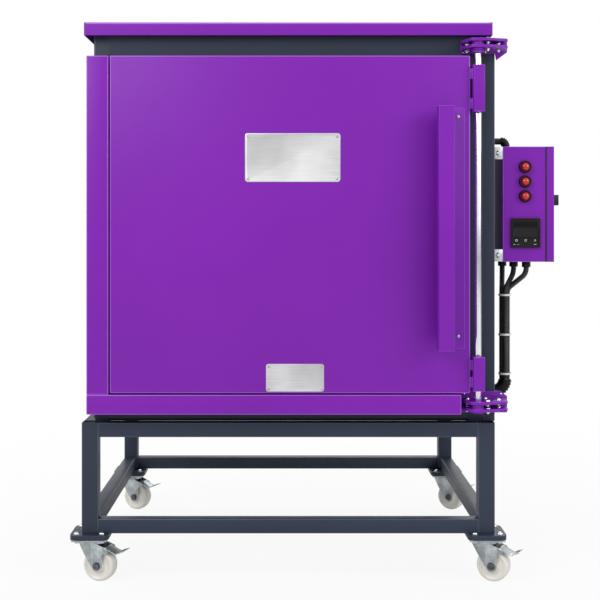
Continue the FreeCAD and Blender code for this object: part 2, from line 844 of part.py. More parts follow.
def wheel_body(corner):
    """A nylon wheel turned round its axle, with a bevelled tread and a proud hub."""
    hub = "fork_half_space - hub_side_gap"
    side = "wheel_width / 2"
    bore = "axle_radius + running_gap"
    rim = "wheel_radius - wheel_shoulder"
    half = [(bore, hub), ("hub_radius", hub), ("hub_radius", side), (rim, side),
            ("wheel_radius", f"{side} - wheel_shoulder")]
    outline = [(r, f"-({y})") for r, y in half] + [(r, y) for r, y in reversed(half)]
    wheel = new_body("Wheel_" + corner)
    drawing = sketch_on(wheel, "WheelSketch_" + corner, "XY_Plane", "0")
    draw_outline(drawing, outline)
    turned = wheel.newObject("PartDesign::Revolution", "WheelTurned_" + corner)
    turned.Profile = drawing
    turned.ReferenceAxis = (drawing, ["V_Axis"])
    turned.Angle = 360
    return wheel


def pedal_body(corner):
    """The pressed brake pedal: a sleeve on its pin, a dip and an upturned toe."""
    dip_x = "pedal_pivot_x + pedal_dip_reach"
    dip_z = "pedal_pivot_height - pedal_dip_drop"
    toe_x = f"{dip_x} + pedal_lip_reach"
    toe_z = f"{dip_z} + pedal_lip_rise"
    sleeve_top = "pedal_pivot_height + pedal_sleeve_radius"
    outline = [
        ("pedal_pivot_x + pedal_pin_radius + pedal_fold", "pedal_pivot_height"),
        (dip_x, dip_z),
        (toe_x, toe_z),
        (toe_x, f"{toe_z} + pedal_sheet"),
        (dip_x, f"{dip_z} + pedal_sheet + pedal_fold"),
        ("pedal_pivot_x + pedal_pin_radius", sleeve_top),
        ("pedal_pivot_x", sleeve_top),
        ("pedal_pivot_x", "pedal_pivot_height + pedal_pin_radius + pedal_fold"),
    ]
    pedal = new_body("Pedal_" + corner)
    low, high = "-pedal_width / 2", "pedal_width / 2"
    pivot = ("pedal_pivot_x", "pedal_pivot_height")
    padded(pedal, "Sleeve_" + corner, "XZ_Plane", None, low, high,
           [(*pivot, "pedal_sleeve_radius"), (*pivot, "pedal_pin_radius + running_gap")])
    padded(pedal, "Tread_" + corner, "XZ_Plane", outline, low, high)
    pocketed(pedal, "PinBore_" + corner, "XZ_Plane", None, f"{low} - overlap", f"{high} + overlap",
             [(*pivot, "pedal_pin_radius + running_gap")])
    return pedal


for corner, (x, y, yaw) in corners.items():
    castor_part("caster_fork_" + corner, fork_body(corner), x, y, yaw)
    wheel = wheel_body(corner)
    castor_part("caster_wheel_" + corner, wheel, x, y, yaw)
    trail_x = f"castor_trail * cos({yaw})"
    trail_y = f"castor_trail * sin({yaw})"
    bind(wheel, ".Placement.Base.x", f"({x}) + {trail_x} - origin_x")
    bind(wheel, ".Placement.Base.y", f"({y}) - {trail_y} - origin_y")
    bind(wheel, ".Placement.Base.z", "wheel_radius")
    castor_part("brake_pedal_" + corner, pedal_body(corner), x, y, yaw)

# Body frame: corner posts on the stand, rails between them at the bottom and the top
frame_tubes = []
body_post_x = mirrored_pair("body_half_width - body_tube", "body_half_width")
body_post_y = (("body_front", "body_front + body_tube"), ("body_rear - body_tube", "body_rear"))
for number, (x, y) in enumerate([(x, y) for x in body_post_x for y in body_post_y]):
    frame_tubes.append(square_tube(f"BodyPost{number}", "z", x, y, ("stand_top", "body_top"), "tube_wall"))
rail_levels = (("body_bottom", "body_bottom + body_tube"), ("body_top - body_tube", "body_top"))
inner_x = ("-(body_half_width - body_tube)", "body_half_width - body_tube")
inner_y = ("body_front + body_tube", "body_rear - body_tube")
set_back_rail = ("body_front + face_frame_thickness", "body_front + body_tube")
for level, z in enumerate(rail_levels):
    for number, y in enumerate((set_back_rail, body_post_y[1])):
        frame_tubes.append(square_tube(f"BodyRail{level}{number}", "x", inner_x, y, z, "tube_wall"))
    for number, x in enumerate(body_post_x):
        frame_tubes.append(square_tube(f"BodySide{level}{number}", "y", x, inner_y, z, "tube_wall"))
sub_part("body_frame", frame_tubes)

# Face frame: the steel plate round the mouth of the chamber, which the gasket closes on
face = box("FacePlate", inner_x, ("body_front", "lining_front"), ("body_bottom", "body_top"))
mouth = box("Mouth", ("-(chamber_half_width + mouth_margin)", "chamber_half_width + mouth_margin"),
            ("body_front - overlap", "lining_front + overlap"),
            ("chamber_floor - mouth_margin", "chamber_top + mouth_margin"))
sub_part("front_frame", [cut("FrontFrame", face, [mouth])])

column = square_tube("HingeColumn", "z", ("column_left", "column_right"),
                     ("body_front", "column_rear"), ("stand_top", "column_top"), "tube_wall")
sub_part("hinge_column", [column])

# Side, rear and floor sheets
side_sheets = []
for number, x in enumerate(mirrored_pair("body_half_width", "body_outside")):
    side_sheets.append(box(f"SidePanel{number}", x, ("body_front", "body_rear"), ("body_bottom",
                                                                                  "body_top")))
sub_part("side_panels", side_sheets)

element_rows = range(6)
louvre_rows = range(5)


def row_height(row):
    return f"chamber_floor + element_first_row + {row} * element_pitch"


def element_holes(name, low, high):
    """Round holes for the tails of the heating elements, on both sides."""
    holes = []
    for side in (-1, 1):
        for row in element_rows:
            holes.append(cylinder(f"{name}Hole{side + 1}{row}", "y", "groove_half",
                                  (f"{side} * element_x", row_height(row)), low, high))
    holes.append(cylinder(name + "ProbeHole", "y", "probe_radius + element_clearance",
                          ("0", "probe_z"), low, high))
    return holes


rear_sheet = box("RearSheet", ("-body_outside", "body_outside"),
                 ("body_rear", "body_rear + sheet_thickness"), ("body_bottom", "body_top"))
sub_part("rear_panel", [cut("RearPanel", rear_sheet,
                            element_holes("RearPanel", "body_rear - overlap",
                                          "body_rear + sheet_thickness + overlap"))])
pan = box("FloorPan", ("-(body_half_width - lining_gap)", "body_half_width - lining_gap"),
          ("body_front + body_tube + lining_gap", "body_rear - body_tube - lining_gap"),
          ("pan_bottom", "pan_top"))
pan_notches = []
for number, x in enumerate(mirrored_pair("backing_outside", "body_half_width")):
    for end, y in enumerate((("body_front", "body_front + body_tube + overlap"),
                             ("body_rear - body_tube - overlap", "body_rear"))):
        pan_notches.append(box(f"PanNotch{number}{end}", x, y, ("pan_bottom - overlap",
                                                                "pan_top + overlap")))
sub_part("floor_pan", [cut("FloorPanCut", pan, pan_notches)])

# Top cover: a folded tray upside down, with the vent's hole
cover = new_body("TopCover")
cover_outline = [("-cover_half_width", "0"), ("cover_half_width", "0"),
                 ("cover_half_width", "cover_depth"), ("-cover_half_width", "cover_depth")]
padded(cover, "CoverBlock", "XY_Plane", cover_outline, "cover_bottom", "cover_top",
       [("0", "vent_y", "vent_radius")])
cover_inside = [("-cover_half_width + sheet_thickness", "sheet_thickness"),
                ("cover_half_width - sheet_thickness", "sheet_thickness"),
                ("cover_half_width - sheet_thickness", "cover_depth - sheet_thickness"),
                ("-cover_half_width + sheet_thickness", "cover_depth - sheet_thickness")]
pocketed(cover, "CoverInside", "XY_Plane", cover_inside, "cover_bottom", "body_top")
round_upright_edges(cover, "CoverCorners", cover_outline, "sheet_thickness * 2")
sub_part("top_cover", [cover])

# Lining of insulating brick, with grooves for the elements in the side walls
brick_walls = []
for side, (low, high) in enumerate(mirrored_pair("chamber_half_width", "lining_outside")):
    wall = box(f"SideWall{side}", (low, high), ("lining_front", "chamber_rear"),
               ("chamber_floor", "chamber_top"))
    inner_face = "-chamber_half_width" if side == 0 else "chamber_half_width"
    sign = "-" if side == 0 else "+"
    depth = f"{inner_face} {sign} 2 * groove_half"
    across = (depth, f"{inner_face} + overlap") if side == 0 else (f"{inner_face} - overlap", depth)
    grooves = []
    for row in element_rows:
        grooves.append(box(f"Groove{side}{row}", across, ("element_front", "chamber_rear + overlap"),
                           (f"{row_height(row)} - groove_half", f"{row_height(row)} + groove_half")))
    for row in element_rows[::2]:
        grooves.append(box(f"Return{side}{row}", across,
                           ("element_front", "element_front + 2 * groove_half"),
                           (f"{row_height(row)} - groove_half", f"{row_height(row + 1)} + groove_half")))
    brick_walls.append(cut(f"GroovedWall{side}", wall, grooves))
rear_wall = box("RearWall", ("-lining_outside", "lining_outside"), ("chamber_rear", "lining_rear"),
                ("chamber_floor", "chamber_top"))
brick_walls.append(cut("DrilledRearWall", rear_wall,
                       element_holes("RearWall", "chamber_rear - overlap", "lining_rear + overlap")))
sub_part("lining_walls", brick_walls)

lining_x = ("-lining_outside", "lining_outside")
lining_y = ("lining_front", "lining_rear")
roof = box("Roof", lining_x, lining_y, ("chamber_top", "roof_top"))
roof_vent = cylinder("RoofVent", "z", "vent_radius", ("0", "vent_y"), "chamber_top - overlap",
                     "roof_top + overlap")
sub_part("lining_roof", [cut("LiningRoof", roof, [roof_vent])])
floor_bricks = box("FloorBricks", lining_x, lining_y, ("floor_brick_bottom", "chamber_floor"))
sub_part("lining_floor", [floor_bricks])

# Backing boards between the bricks and the frame
backing = []
for side, x in enumerate(mirrored_pair("lining_outside", "backing_outside")):
    backing.append(box(f"SideBacking{side}", x, ("lining_front", "lining_rear"),
                       ("floor_brick_bottom", "roof_top")))
rear_backing = box("RearBacking", ("-backing_outside", "backing_outside"),
                   ("lining_rear", "backing_rear"), ("floor_brick_bottom", "roof_top"))
backing.append(cut("RearBackingCut", rear_backing,
                   element_holes("RearBacking", "lining_rear - overlap", "backing_rear + overlap")))
roof_backing = box("RoofBacking", lining_x, ("lining_front + body_tube", "lining_rear"),
                   ("roof_top", "roof_top + roof_backing"))
backing_vent = cylinder("BackingVent", "z", "vent_radius", ("0", "vent_y"),
                        "roof_top - overlap", "roof_top + roof_backing + overlap")
backing.append(cut("RoofBackingCut", roof_backing, [backing_vent]))
backing.append(box("FloorBacking", ("-backing_outside", "backing_outside"),
                   ("lining_front + body_tube", "backing_rear"), ("backing_bottom", "floor_brick_bottom")))
sub_part("backing_insulation", backing)

hearth = box("HearthPlate", ("-(chamber_half_width - hearth_margin)", "chamber_half_width - hearth_margin"),
             ("lining_front + plug_depth + hearth_margin", "chamber_rear - hearth_margin"),
             ("chamber_floor", "hearth_top"))
sub_part("hearth_plate", [hearth])

# Heating elements: hairpins that run forward in one groove and back in the next
hairpins = []
for side in (-1, 1):
    for row in element_rows[::2]:
        x = side * value("element_x")
        low_z, high_z = value(row_height(row)), value(row_height(row + 1))
        front = value("element_front + groove_half")
        rear = value("element_end")
        corners_of_pin = [FreeCAD.Vector(x, rear, low_z), FreeCAD.Vector(x, front, low_z),
                          FreeCAD.Vector(x, front, high_z), FreeCAD.Vector(x, rear, high_z)]
        bend = value("element_bend")
        hairpins.append(hose(f"Hairpin{side + 1}{row}", corners_of_pin, [bend, bend],
                             value("element_radius")))
sub_part("heating_elements", hairpins)

# Thermocouple: a sheath through the rear wall with its head outside
sheath = cylinder("Sheath", "y", "probe_radius", ("0", "probe_z"),
                  "chamber_rear - probe_reach", "body_rear + sheet_thickness + 2 * overlap")
head = cylinder("ProbeHead", "y", "probe_head_radius", ("0", "probe_z"),
                "body_rear + sheet_thickness", "body_rear + sheet_thickness + probe_head_length")
sub_part("thermocouple", [fuse("Thermocouple", [sheath, head])])

# Terminal cover: a folded box over the elements' tails, with louvres
cover_low = f"{row_height(0)} - terminal_cover_margin"
cover_high = f"{row_height(element_rows[-1])} + terminal_cover_margin"
terminal_block = box("TerminalCoverBlock", ("-terminal_cover_half_width", "terminal_cover_half_width"),
                     ("body_rear + sheet_thickness", "whole_rear"), (cover_low, cover_high))
terminal_space = box("TerminalCoverSpace",
                     ("-terminal_cover_half_width + sheet_thickness",
                      "terminal_cover_half_width - sheet_thickness"),
                     ("body_rear", "whole_rear - sheet_thickness"),
                     (f"{cover_low} + sheet_thickness", f"{cover_high} - sheet_thickness"))
louvres = []
for side, middle in enumerate(("-terminal_cover_half_width / 2", "terminal_cover_half_width / 2")):
    for level in louvre_rows:
        bottom = f"{cover_high} - 2 * louvre_pitch - {level} * louvre_pitch"
        louvres.append(box(f"Louvre{side}{level}",
                           (f"{middle} - louvre_length / 2", f"{middle} + louvre_length / 2"),
                           ("whole_rear - sheet_thickness - overlap", "whole_rear + overlap"),
                           (bottom, f"{bottom} + louvre_height")))
sub_part("terminal_cover", [cut("TerminalCover", terminal_block, [terminal_space] + louvres)])

# Vent plug: a tapered stem in the roof's hole, a cap that rests on the cover, and a knob
plug_radius = "vent_radius - vent_clearance"
plug = new_body("VentPlug")
plug_sketch = sketch_on(plug, "VentPlugSketch", "XZ_Plane", "-(vent_y)")
draw_outline(plug_sketch, [
    ("0", "cover_top - vent_plug_length"),
    (f"{plug_radius} - vent_plug_taper", "cover_top - vent_plug_length"),
    (plug_radius, "cover_top - vent_plug_length / 2"),
    (plug_radius, "cover_top"),
    ("vent_plug_cap_radius", "cover_top"),
    ("vent_plug_cap_radius", "cover_top + vent_plug_cap_height"),
    ("vent_plug_knob_radius * 0.7", "cover_top + vent_plug_cap_height"),
    ("vent_plug_knob_radius", "cover_top + vent_plug_cap_height + vent_plug_knob_height * 0.6"),
    ("vent_plug_knob_radius * 0.6", "cover_top + vent_plug_cap_height + vent_plug_knob_height"),
    ("0", "cover_top + vent_plug_cap_height + vent_plug_knob_height"),
])
plug_turned = plug.newObject("PartDesign::Revolution", "VentPlugTurned")
plug_turned.Profile = plug_sketch
plug_turned.ReferenceAxis = (plug_sketch, ["V_Axis"])
plug_turned.Angle = 360
sub_part("vent_plug", [plug])


def folded_pan(name, x, front, rear, z, sheet_size):
    """A pan with its face to the front, open at the back."""
    inside = [(f"({low}) + {sheet_size}", f"({high}) - {sheet_size}") for low, high in (x, z)]
    block = box(name + "Block", x, (front, rear), z)
    space = box(name + "Space", inside[0], (f"({front}) + {sheet_size}", f"({rear}) + overlap"), inside[1])
    return cut(name, block, [space])


# Fixed trims beside and under the door, flush with its face
sub_part("latch_side_trim", [folded_pan("LatchTrim", ("-trim_left", "-trim_right"), "door_front",
                                        "body_front", ("sill_top", "trim_top"), "trim_sheet")])
sub_part("sill_trim", [folded_pan("SillTrim", ("-trim_left", "sill_end"), "door_front", "body_front",
                                  ("sill_bottom", "sill_top - lining_gap"), "trim_sheet")])

# Door: a pan, its insulation with the tapered plug, and the rope gasket
door_x = ("-door_left", "door_right")
sub_part("door_shell", [folded_pan("DoorShell", door_x, "door_front", "door_back",
                                   ("door_bottom", "door_top"), "door_sheet")])
board = box("DoorBoard", ("-(door_left - door_sheet - lining_gap)", "door_right - door_sheet - lining_gap"),
            ("door_front + door_sheet + lining_gap", "door_back"),
            ("door_bottom + door_sheet + lining_gap", "door_top - door_sheet - lining_gap"))
plug_wide = "chamber_half_width - plug_margin"
plug_low, plug_high = "chamber_floor + plug_margin", "chamber_top - plug_margin"
plug_back = "body_front + plug_depth"
door_plug = new_body("DoorPlug")
base_sketch = sketch_on(door_plug, "PlugBase", "XZ_Plane", "-(door_back - overlap)")
draw_outline(base_sketch, [(f"-({plug_wide})", plug_low), (plug_wide, plug_low),
                           (plug_wide, plug_high), (f"-({plug_wide})", plug_high)])
end_sketch = sketch_on(door_plug, "PlugEnd", "XZ_Plane", f"-({plug_back})")
draw_outline(end_sketch, [(f"-({plug_wide} - plug_taper)", f"{plug_low} + plug_taper"),
                          (f"{plug_wide} - plug_taper", f"{plug_low} + plug_taper"),
                          (f"{plug_wide} - plug_taper", f"{plug_high} - plug_taper"),
                          (f"-({plug_wide} - plug_taper)", f"{plug_high} - plug_taper")])
taper = door_plug.newObject("PartDesign::AdditiveLoft", "PlugTaper")
taper.Profile = base_sketch
taper.Sections = [end_sketch]
sub_part("door_lining", [fuse("DoorLining", [board, door_plug])])

gasket_y = ("door_back", "body_front - lining_gap")
gasket_block = box("GasketBlock", ("-(gasket_inside + gasket_width)", "gasket_inside + gasket_width"),
                   gasket_y, ("gasket_low - gasket_width", "gasket_high + gasket_width"))
gasket_space = box("GasketSpace", ("-gasket_inside", "gasket_inside"),
                   ("door_back - overlap", "body_front + overlap"), ("gasket_low", "gasket_high"))
sub_part("door_gasket", [cut("DoorGasket", gasket_block, [gasket_space])])

# Handle: one bent sheet, screwed to the door by its flange and open to the left
web_right = "handle_left + handle_width"
web_left = f"{web_right} - handle_sheet"
handle_front = "door_front - handle_standoff"
handle = new_body("DoorHandle")
padded(handle, "HandleProfile", "XY_Plane", [
    ("handle_left", handle_front),
    (web_right, handle_front),
    (web_right, "door_front - handle_sheet"),
    (f"{web_right} + handle_flange", "door_front - handle_sheet"),
    (f"{web_right} + handle_flange", "door_front"),
    (web_left, "door_front"),
    (web_left, f"{handle_front} + handle_sheet"),
    ("handle_left + handle_sheet", f"{handle_front} + handle_sheet"),
    ("handle_left + handle_sheet", f"{handle_front} + handle_lip"),
    ("handle_left", f"{handle_front} + handle_lip"),
], "handle_bottom", "handle_top")
round_upright_edges(handle, "HandleBends", [("handle_left", handle_front), (web_right, handle_front)],
                    "handle_sheet")
sub_part("door_handle", [handle])

# Hinge rod with the two blocks that carry the door on it
rod = cylinder("RodBar", "z", "hinge_rod_radius", ("hinge_x", "hinge_y"), "rod_bottom", "rod_top")
sub_part("hinge_rod", [rod])
blocks = []
block_spans = (("lower_block_bottom", "lower_block_bottom + lower_block_length"),
               ("upper_block_top - upper_block_length", "upper_block_top"))
for number, (low, high) in enumerate(block_spans):
    block = new_body(f"HingeBlock{number}")
    outline = [("block_left", "block_front"), ("block_right", "block_front"),
               ("block_right", "block_rear"), ("block_left", "block_rear")]
    padded(block, f"BlockPad{number}", "XY_Plane", outline, low, high)
    round_upright_edges(block, f"BlockCorners{number}", outline, "handle_sheet")
    lug_front, lug_rear = "hinge_y - block_lug_depth / 2", "hinge_y + block_lug_depth / 2"
    lug = [("door_right", lug_front), ("block_left + 2 * overlap", lug_front),
           ("block_left + 2 * overlap", lug_rear), ("door_right", lug_rear)]
    padded(block, f"LowLug{number}", "XY_Plane", lug, f"({low}) + block_lug_inset",
           f"({low}) + block_lug_inset + block_lug_height")
    padded(block, f"HighLug{number}", "XY_Plane", lug, f"({high}) - block_lug_inset - block_lug_height",
           f"({high}) - block_lug_inset")
    pocketed(block, f"RodBore{number}", "XY_Plane", None, f"({low}) - overlap", f"({high}) + overlap",
             [("hinge_x", "hinge_y", "hinge_rod_radius")])
    blocks.append(block)
sub_part("hinge_blocks", blocks)

# Hinge brackets: two shaped plates each, a back plate, a collar round the rod and bolts
plate_corners = [
    ("bracket_left", "bracket_back"),
    ("bracket_left", "bracket_back - bracket_left_depth"),
    ("hinge_x - bracket_nose_left", "bracket_nose_y"),
    ("hinge_x + bracket_nose_right", "bracket_nose_y"),
    ("bracket_right", "bracket_back - bracket_right_depth"),
    ("bracket_right", "bracket_back"),
]
bracket_bolts = [
    ("bracket_left + first_bolt_in", "bracket_back - first_bolt_forward"),
    ("hinge_x + bracket_nose_right", "hinge_y + second_bolt_back"),
    ("bracket_right - third_bolt_in", "bracket_back - third_bolt_forward"),
    ("bracket_right - fourth_bolt_in", "bracket_back - fourth_bolt_forward"),
]


def bracket_plate(name, top):
    plate = new_body(name)
    holes = [("hinge_x", "hinge_y", "hinge_rod_radius + running_gap")]
    holes += [(x, y, "bracket_bolt_radius + bracket_hole_gap") for x, y in bracket_bolts]
    padded(plate, name + "Pad", "XY_Plane", plate_corners, f"({top}) - bracket_plate", top, holes)
    round_upright_edges(plate, name + "Nose", plate_corners[1:5], "bracket_corner_radius")
    return plate


def bracket(label, tops, back_outline):
    """Two plates, the collar between them and the back plate, welded together."""
    upper, lower = tops
    pieces = [bracket_plate(f"{label}Plate{number}", top) for number, top in enumerate(tops)]
    back = new_body(label + "Back")
    padded(back, label + "BackPad", "XZ_Plane", back_outline, "bracket_back", "body_front")
    pieces.append(back)
    collar = new_body(label + "Collar")
    padded(collar, label + "CollarPad", "XY_Plane", None, lower, f"({upper}) - bracket_plate",
           [("hinge_x", "hinge_y", "bracket_collar_radius"),
            ("hinge_x", "hinge_y", "hinge_rod_radius + running_gap")])
    pieces.append(collar)
    sub_part(label, [fuse(label + "_welded", pieces)])


bracket("upper_hinge_bracket", ("upper_plate_top", "upper_second_top"), [
    ("bracket_left", "upper_back_bottom"),
    ("column_right", "upper_back_bottom"),
    ("column_right + wing_slope", "upper_wing_bottom"),
    ("bracket_wing", "upper_back_bottom + wing_slope"),
    ("bracket_wing", "upper_plate_top + wing_rise"),
    ("bracket_left", "upper_plate_top + wing_rise"),
])
bracket("lower_hinge_bracket", ("lower_plate_top", "lower_second_top"), [
    ("bracket_left", "lower_back_bottom"),
    ("bracket_wing", "lower_back_bottom"),
    ("bracket_wing", "lower_plate_top + wing_rise"),
    ("bracket_right - lobe_inset", "lower_back_top"),
    ("bracket_left", "lower_back_top"),
])
bolts = []
for level, (upper, lower) in enumerate((("upper_plate_top", "upper_second_top"),
                                        ("lower_plate_top", "lower_second_top"))):
    for number, centre in enumerate(bracket_bolts):
        name = f"BracketBolt{level}{number}"
        under = f"({lower}) - bracket_plate"
        shank = cylinder(name + "Shank", "z", "bracket_bolt_radius", centre,
                         f"({under}) - bracket_bolt_head_height - bracket_bolt_proud",
                         f"({upper}) + overlap")
        head = hexagon(name + "Head", "z", "bracket_bolt_head_radius", centre,
                       upper, f"({upper}) + bracket_bolt_head_height")
        middle_nut = hexagon(name + "MiddleNut", "z", "bracket_bolt_head_radius", centre,
                             f"({upper}) - bracket_plate - bracket_bolt_head_height",
                             f"({upper}) - bracket_plate")
        low_nut = hexagon(name + "LowNut", "z", "bracket_bolt_head_radius", centre,
                          f"({under}) - bracket_bolt_head_height", under)
        bolts.append(fuse(name, [shank, head, middle_nut, low_nut]))
sub_part("hinge_bracket_bolts", bolts)

# Control box: a shell open to the right, with a lip round the opening's front edge
shell = box("BoxShell", ("box_left", "box_right"), ("box_front", "box_rear"), ("box_bottom", "box_top"))
inside_y = ("box_front + box_sheet", "box_rear - box_sheet")
inside_z = ("box_bottom + box_sheet", "box_top - box_sheet")
box_space = box("BoxSpace", ("box_left + box_sheet", "box_right - box_sheet"), inside_y, inside_z)
box_mouth = box("BoxMouth", ("box_right - box_sheet - overlap", "box_right + overlap"),
                ("box_front + box_lip + box_sheet", "box_rear - box_sheet"), inside_z)
wall_y = ("box_front - overlap", "box_front + box_sheet + overlap")
lamp_levels = [f"lamp_lowest + {level} * lamp_pitch" for level in range(3)]
box_cuts = [box_space, box_mouth]
for number, z in enumerate(lamp_levels):
    box_cuts.append(cylinder(f"LampHole{number}", "y", "lamp_body_radius + cutout_gap", ("lamp_x", z),
                             *wall_y))
half_cutout = "(controller_body / 2 + cutout_gap)"
box_cuts.append(box("ControllerCutout",
                    (f"controller_x - {half_cutout}", f"controller_x + {half_cutout}"), wall_y,
                    (f"controller_height - {half_cutout}", f"controller_height + {half_cutout}")))
gland_places = {
    "front": ("box_left + front_gland_from_left", "box_front + front_gland_back"),
    "middle": ("box_left + middle_gland_from_left", "box_front + middle_gland_back"),
    "rear": ("box_left + rear_gland_from_left", "box_front + rear_gland_back"),
}
for name, centre in gland_places.items():
    box_cuts.append(cylinder(f"GlandHole{name}", "z", "gland_neck_radius + cutout_gap", centre,
                             "box_bottom - overlap", "box_bottom + box_sheet + overlap"))
box_cuts.append(cylinder("ElbowHole", "z", "elbow_radius + conduit_gap", ("elbow_x", "elbow_y"),
                         "box_top - box_sheet - overlap", "box_top + overlap"))
box_cuts.append(cylinder("SupplyHole", "y", "supply_bore", ("supply_x", "supply_z"),
                         "box_rear - box_sheet - overlap", "box_rear + overlap"))
sub_part("control_box_body", [cut("ControlBoxBody", shell, box_cuts)])

# Z-shaped brackets that hold the control box on the hinge column
holders = []
bracket_front = "box_front + box_bracket_setback"
leg_end = f"{bracket_front} + box_bracket_leg"
for number, low in enumerate(("box_bottom + box_bracket_inset",
                              "box_top - box_bracket_inset - box_bracket_height")):
    holder = new_body(f"BoxHolder{number}")
    padded(holder, f"BoxHolderPad{number}", "XY_Plane", [
        ("column_right", bracket_front),
        ("box_left", bracket_front),
        ("box_left", leg_end),
        ("box_left - box_bracket_sheet", leg_end),
        ("box_left - box_bracket_sheet", f"{bracket_front} + box_bracket_sheet"),
        ("column_right + box_bracket_sheet", f"{bracket_front} + box_bracket_sheet"),
        ("column_right + box_bracket_sheet", leg_end),
        ("column_right", leg_end),
    ], low, f"{low} + box_bracket_height")
    holders.append(holder)
sub_part("control_box_brackets", holders)

# Control gear on a plate at the rear wall: contactor, two relays and a terminal row
gear_x = ("gear_left", "box_right - gear_plate_margin")
plate = box("GearPlate", gear_x, ("gear_front", "gear_back"),
            ("supply_z + supply_gland_radius + gear_spacing", "box_top - gear_plate_margin"))
contactor_top = "box_top - gear_plate_margin - gear_spacing"
gear = [plate]
contactor = box("Contactor", ("gear_left + contactor_inset",
                              "gear_left + contactor_inset + contactor_width"),
                ("gear_front - contactor_depth", "gear_front"),
                (f"{contactor_top} - contactor_height", contactor_top))
contactor_step = box("ContactorStep", ("gear_left + contactor_inset - overlap",
                      "gear_left + contactor_inset + contactor_width + overlap"),
                     ("gear_front - contactor_depth - overlap",
                      "gear_front - contactor_depth * (1 - contactor_step_depth)"),
                     (f"{contactor_top} - contactor_height - overlap",
                      f"{contactor_top} - contactor_height * (1 - contactor_step_height)"))
gear.append(cut("ContactorCut", contactor, [contactor_step]))
relay_top = f"{contactor_top} - contactor_height - gear_spacing"
relay_width = "(box_width - 2 * gear_plate_margin - gear_spacing) / 2"
for number in range(2):
    left = f"gear_left + {number} * ({relay_width} + gear_spacing)"
    gear.append(box(f"Relay{number}", (left, f"{left} + {relay_width}"),
                    ("gear_front - relay_depth", "gear_front"), (f"{relay_top} - relay_height", relay_top)))
terminal_top = f"{relay_top} - relay_height - gear_spacing"
gear.append(box("TerminalRow", gear_x, ("gear_front - terminal_depth", "gear_front"),
                (f"{terminal_top} - terminal_height", terminal_top)))
sub_part("control_gear", gear)

# Signal lamps and the temperature controller in the control box's front
bezels = []
lenses = []
for number, z in enumerate(lamp_levels):
    centre = ("lamp_x", z)
    ring = cylinder(f"BezelRing{number}", "y", "lamp_radius", centre, "box_front - lamp_proud", "box_front")
    tail = cylinder(f"BezelTail{number}", "y", "lamp_body_radius", centre,
                    "box_front - overlap", "box_front + lamp_body_length")
    seat = cylinder(f"BezelSeat{number}", "y", "lens_radius + lens_gap", centre,
                    "box_front - lamp_proud - overlap", "box_front - bezel_floor")
    bezels.append(cut(f"Bezel{number}", fuse(f"BezelJoined{number}", [ring, tail]), [seat]))
    lens = new_body(f"Lens{number}")
    lens_sketch = sketch_on(lens, f"LensSketch{number}", "YZ_Plane", "0")
    back, front = "box_front - bezel_floor - lens_gap", "box_front - lens_proud"
    draw_outline(lens_sketch, [(back, "0"), (back, "lens_radius"),
                               (f"{front} + lens_edge", "lens_radius"), (f"{front} + lens_crown",
                                                                         "lens_radius * 0.7"),
                               (front, "lens_radius * 0.3"), (front, "0")])
    lens_turned = lens.newObject("PartDesign::Revolution", f"LensTurned{number}")
    lens_turned.Profile = lens_sketch
    lens_turned.ReferenceAxis = (lens_sketch, ["H_Axis"])
    lens_turned.Angle = 360
    bind(lens, ".Placement.Base.x", "lamp_x")
    bind(lens, ".Placement.Base.z", z)
    lenses.append(lens)
sub_part("signal_lamp_bezels", bezels)
sub_part("signal_lamp_lenses", lenses)

half_face = "controller_size / 2"
face_y = ("box_front - controller_proud", "box_front")
controller_face = box("ControllerFace", (f"controller_x - {half_face}", f"controller_x + {half_face}"),
                      face_y, (f"controller_height - {half_face}", f"controller_height + {half_face}"))
half_case = "controller_body / 2"
controller_case = box("ControllerCase", (f"controller_x - {half_case}", f"controller_x + {half_case}"),
                      ("box_front - overlap", "box_front + controller_body_depth"),
                      (f"controller_height - {half_case}", f"controller_height + {half_case}"))
key_columns = [f"controller_x + {place} * key_pitch" for place in (-1, 0, 1)]
key_back = "key_rest_back"
pocket_floor = "key_rest_back + key_travel + key_gap"
pockets = []
for number, x in enumerate(key_columns):
    wide, tall = "(key_width / 2 + key_gap)", "(key_height / 2 + key_gap)"
    pockets.append(box(f"KeyPocket{number}", (f"{x} - {wide}", f"{x} + {wide}"),
                       ("box_front - controller_proud - overlap", pocket_floor),
                       (f"key_z - {tall}", f"key_z + {tall}")))
    key = new_body(f"Key{number}")
    padded(key, f"KeyPad{number}", "XZ_Plane", [
        (f"{x} - key_width / 2", "key_z - key_height / 2"), (f"{x} + key_width / 2",
                                                             "key_z - key_height / 2"),
        (f"{x} + key_width / 2", "key_z + key_height / 2"), (f"{x} - key_width / 2",
                                                             "key_z + key_height / 2"),
    ], "box_front - controller_proud - key_proud", key_back)
    sub_part(f"controller_key_{('left', 'middle', 'right')[number]}", [key])
sub_part("temperature_controller", [cut("Controller", fuse("ControllerJoined",
                                                           [controller_face, controller_case]), pockets)])

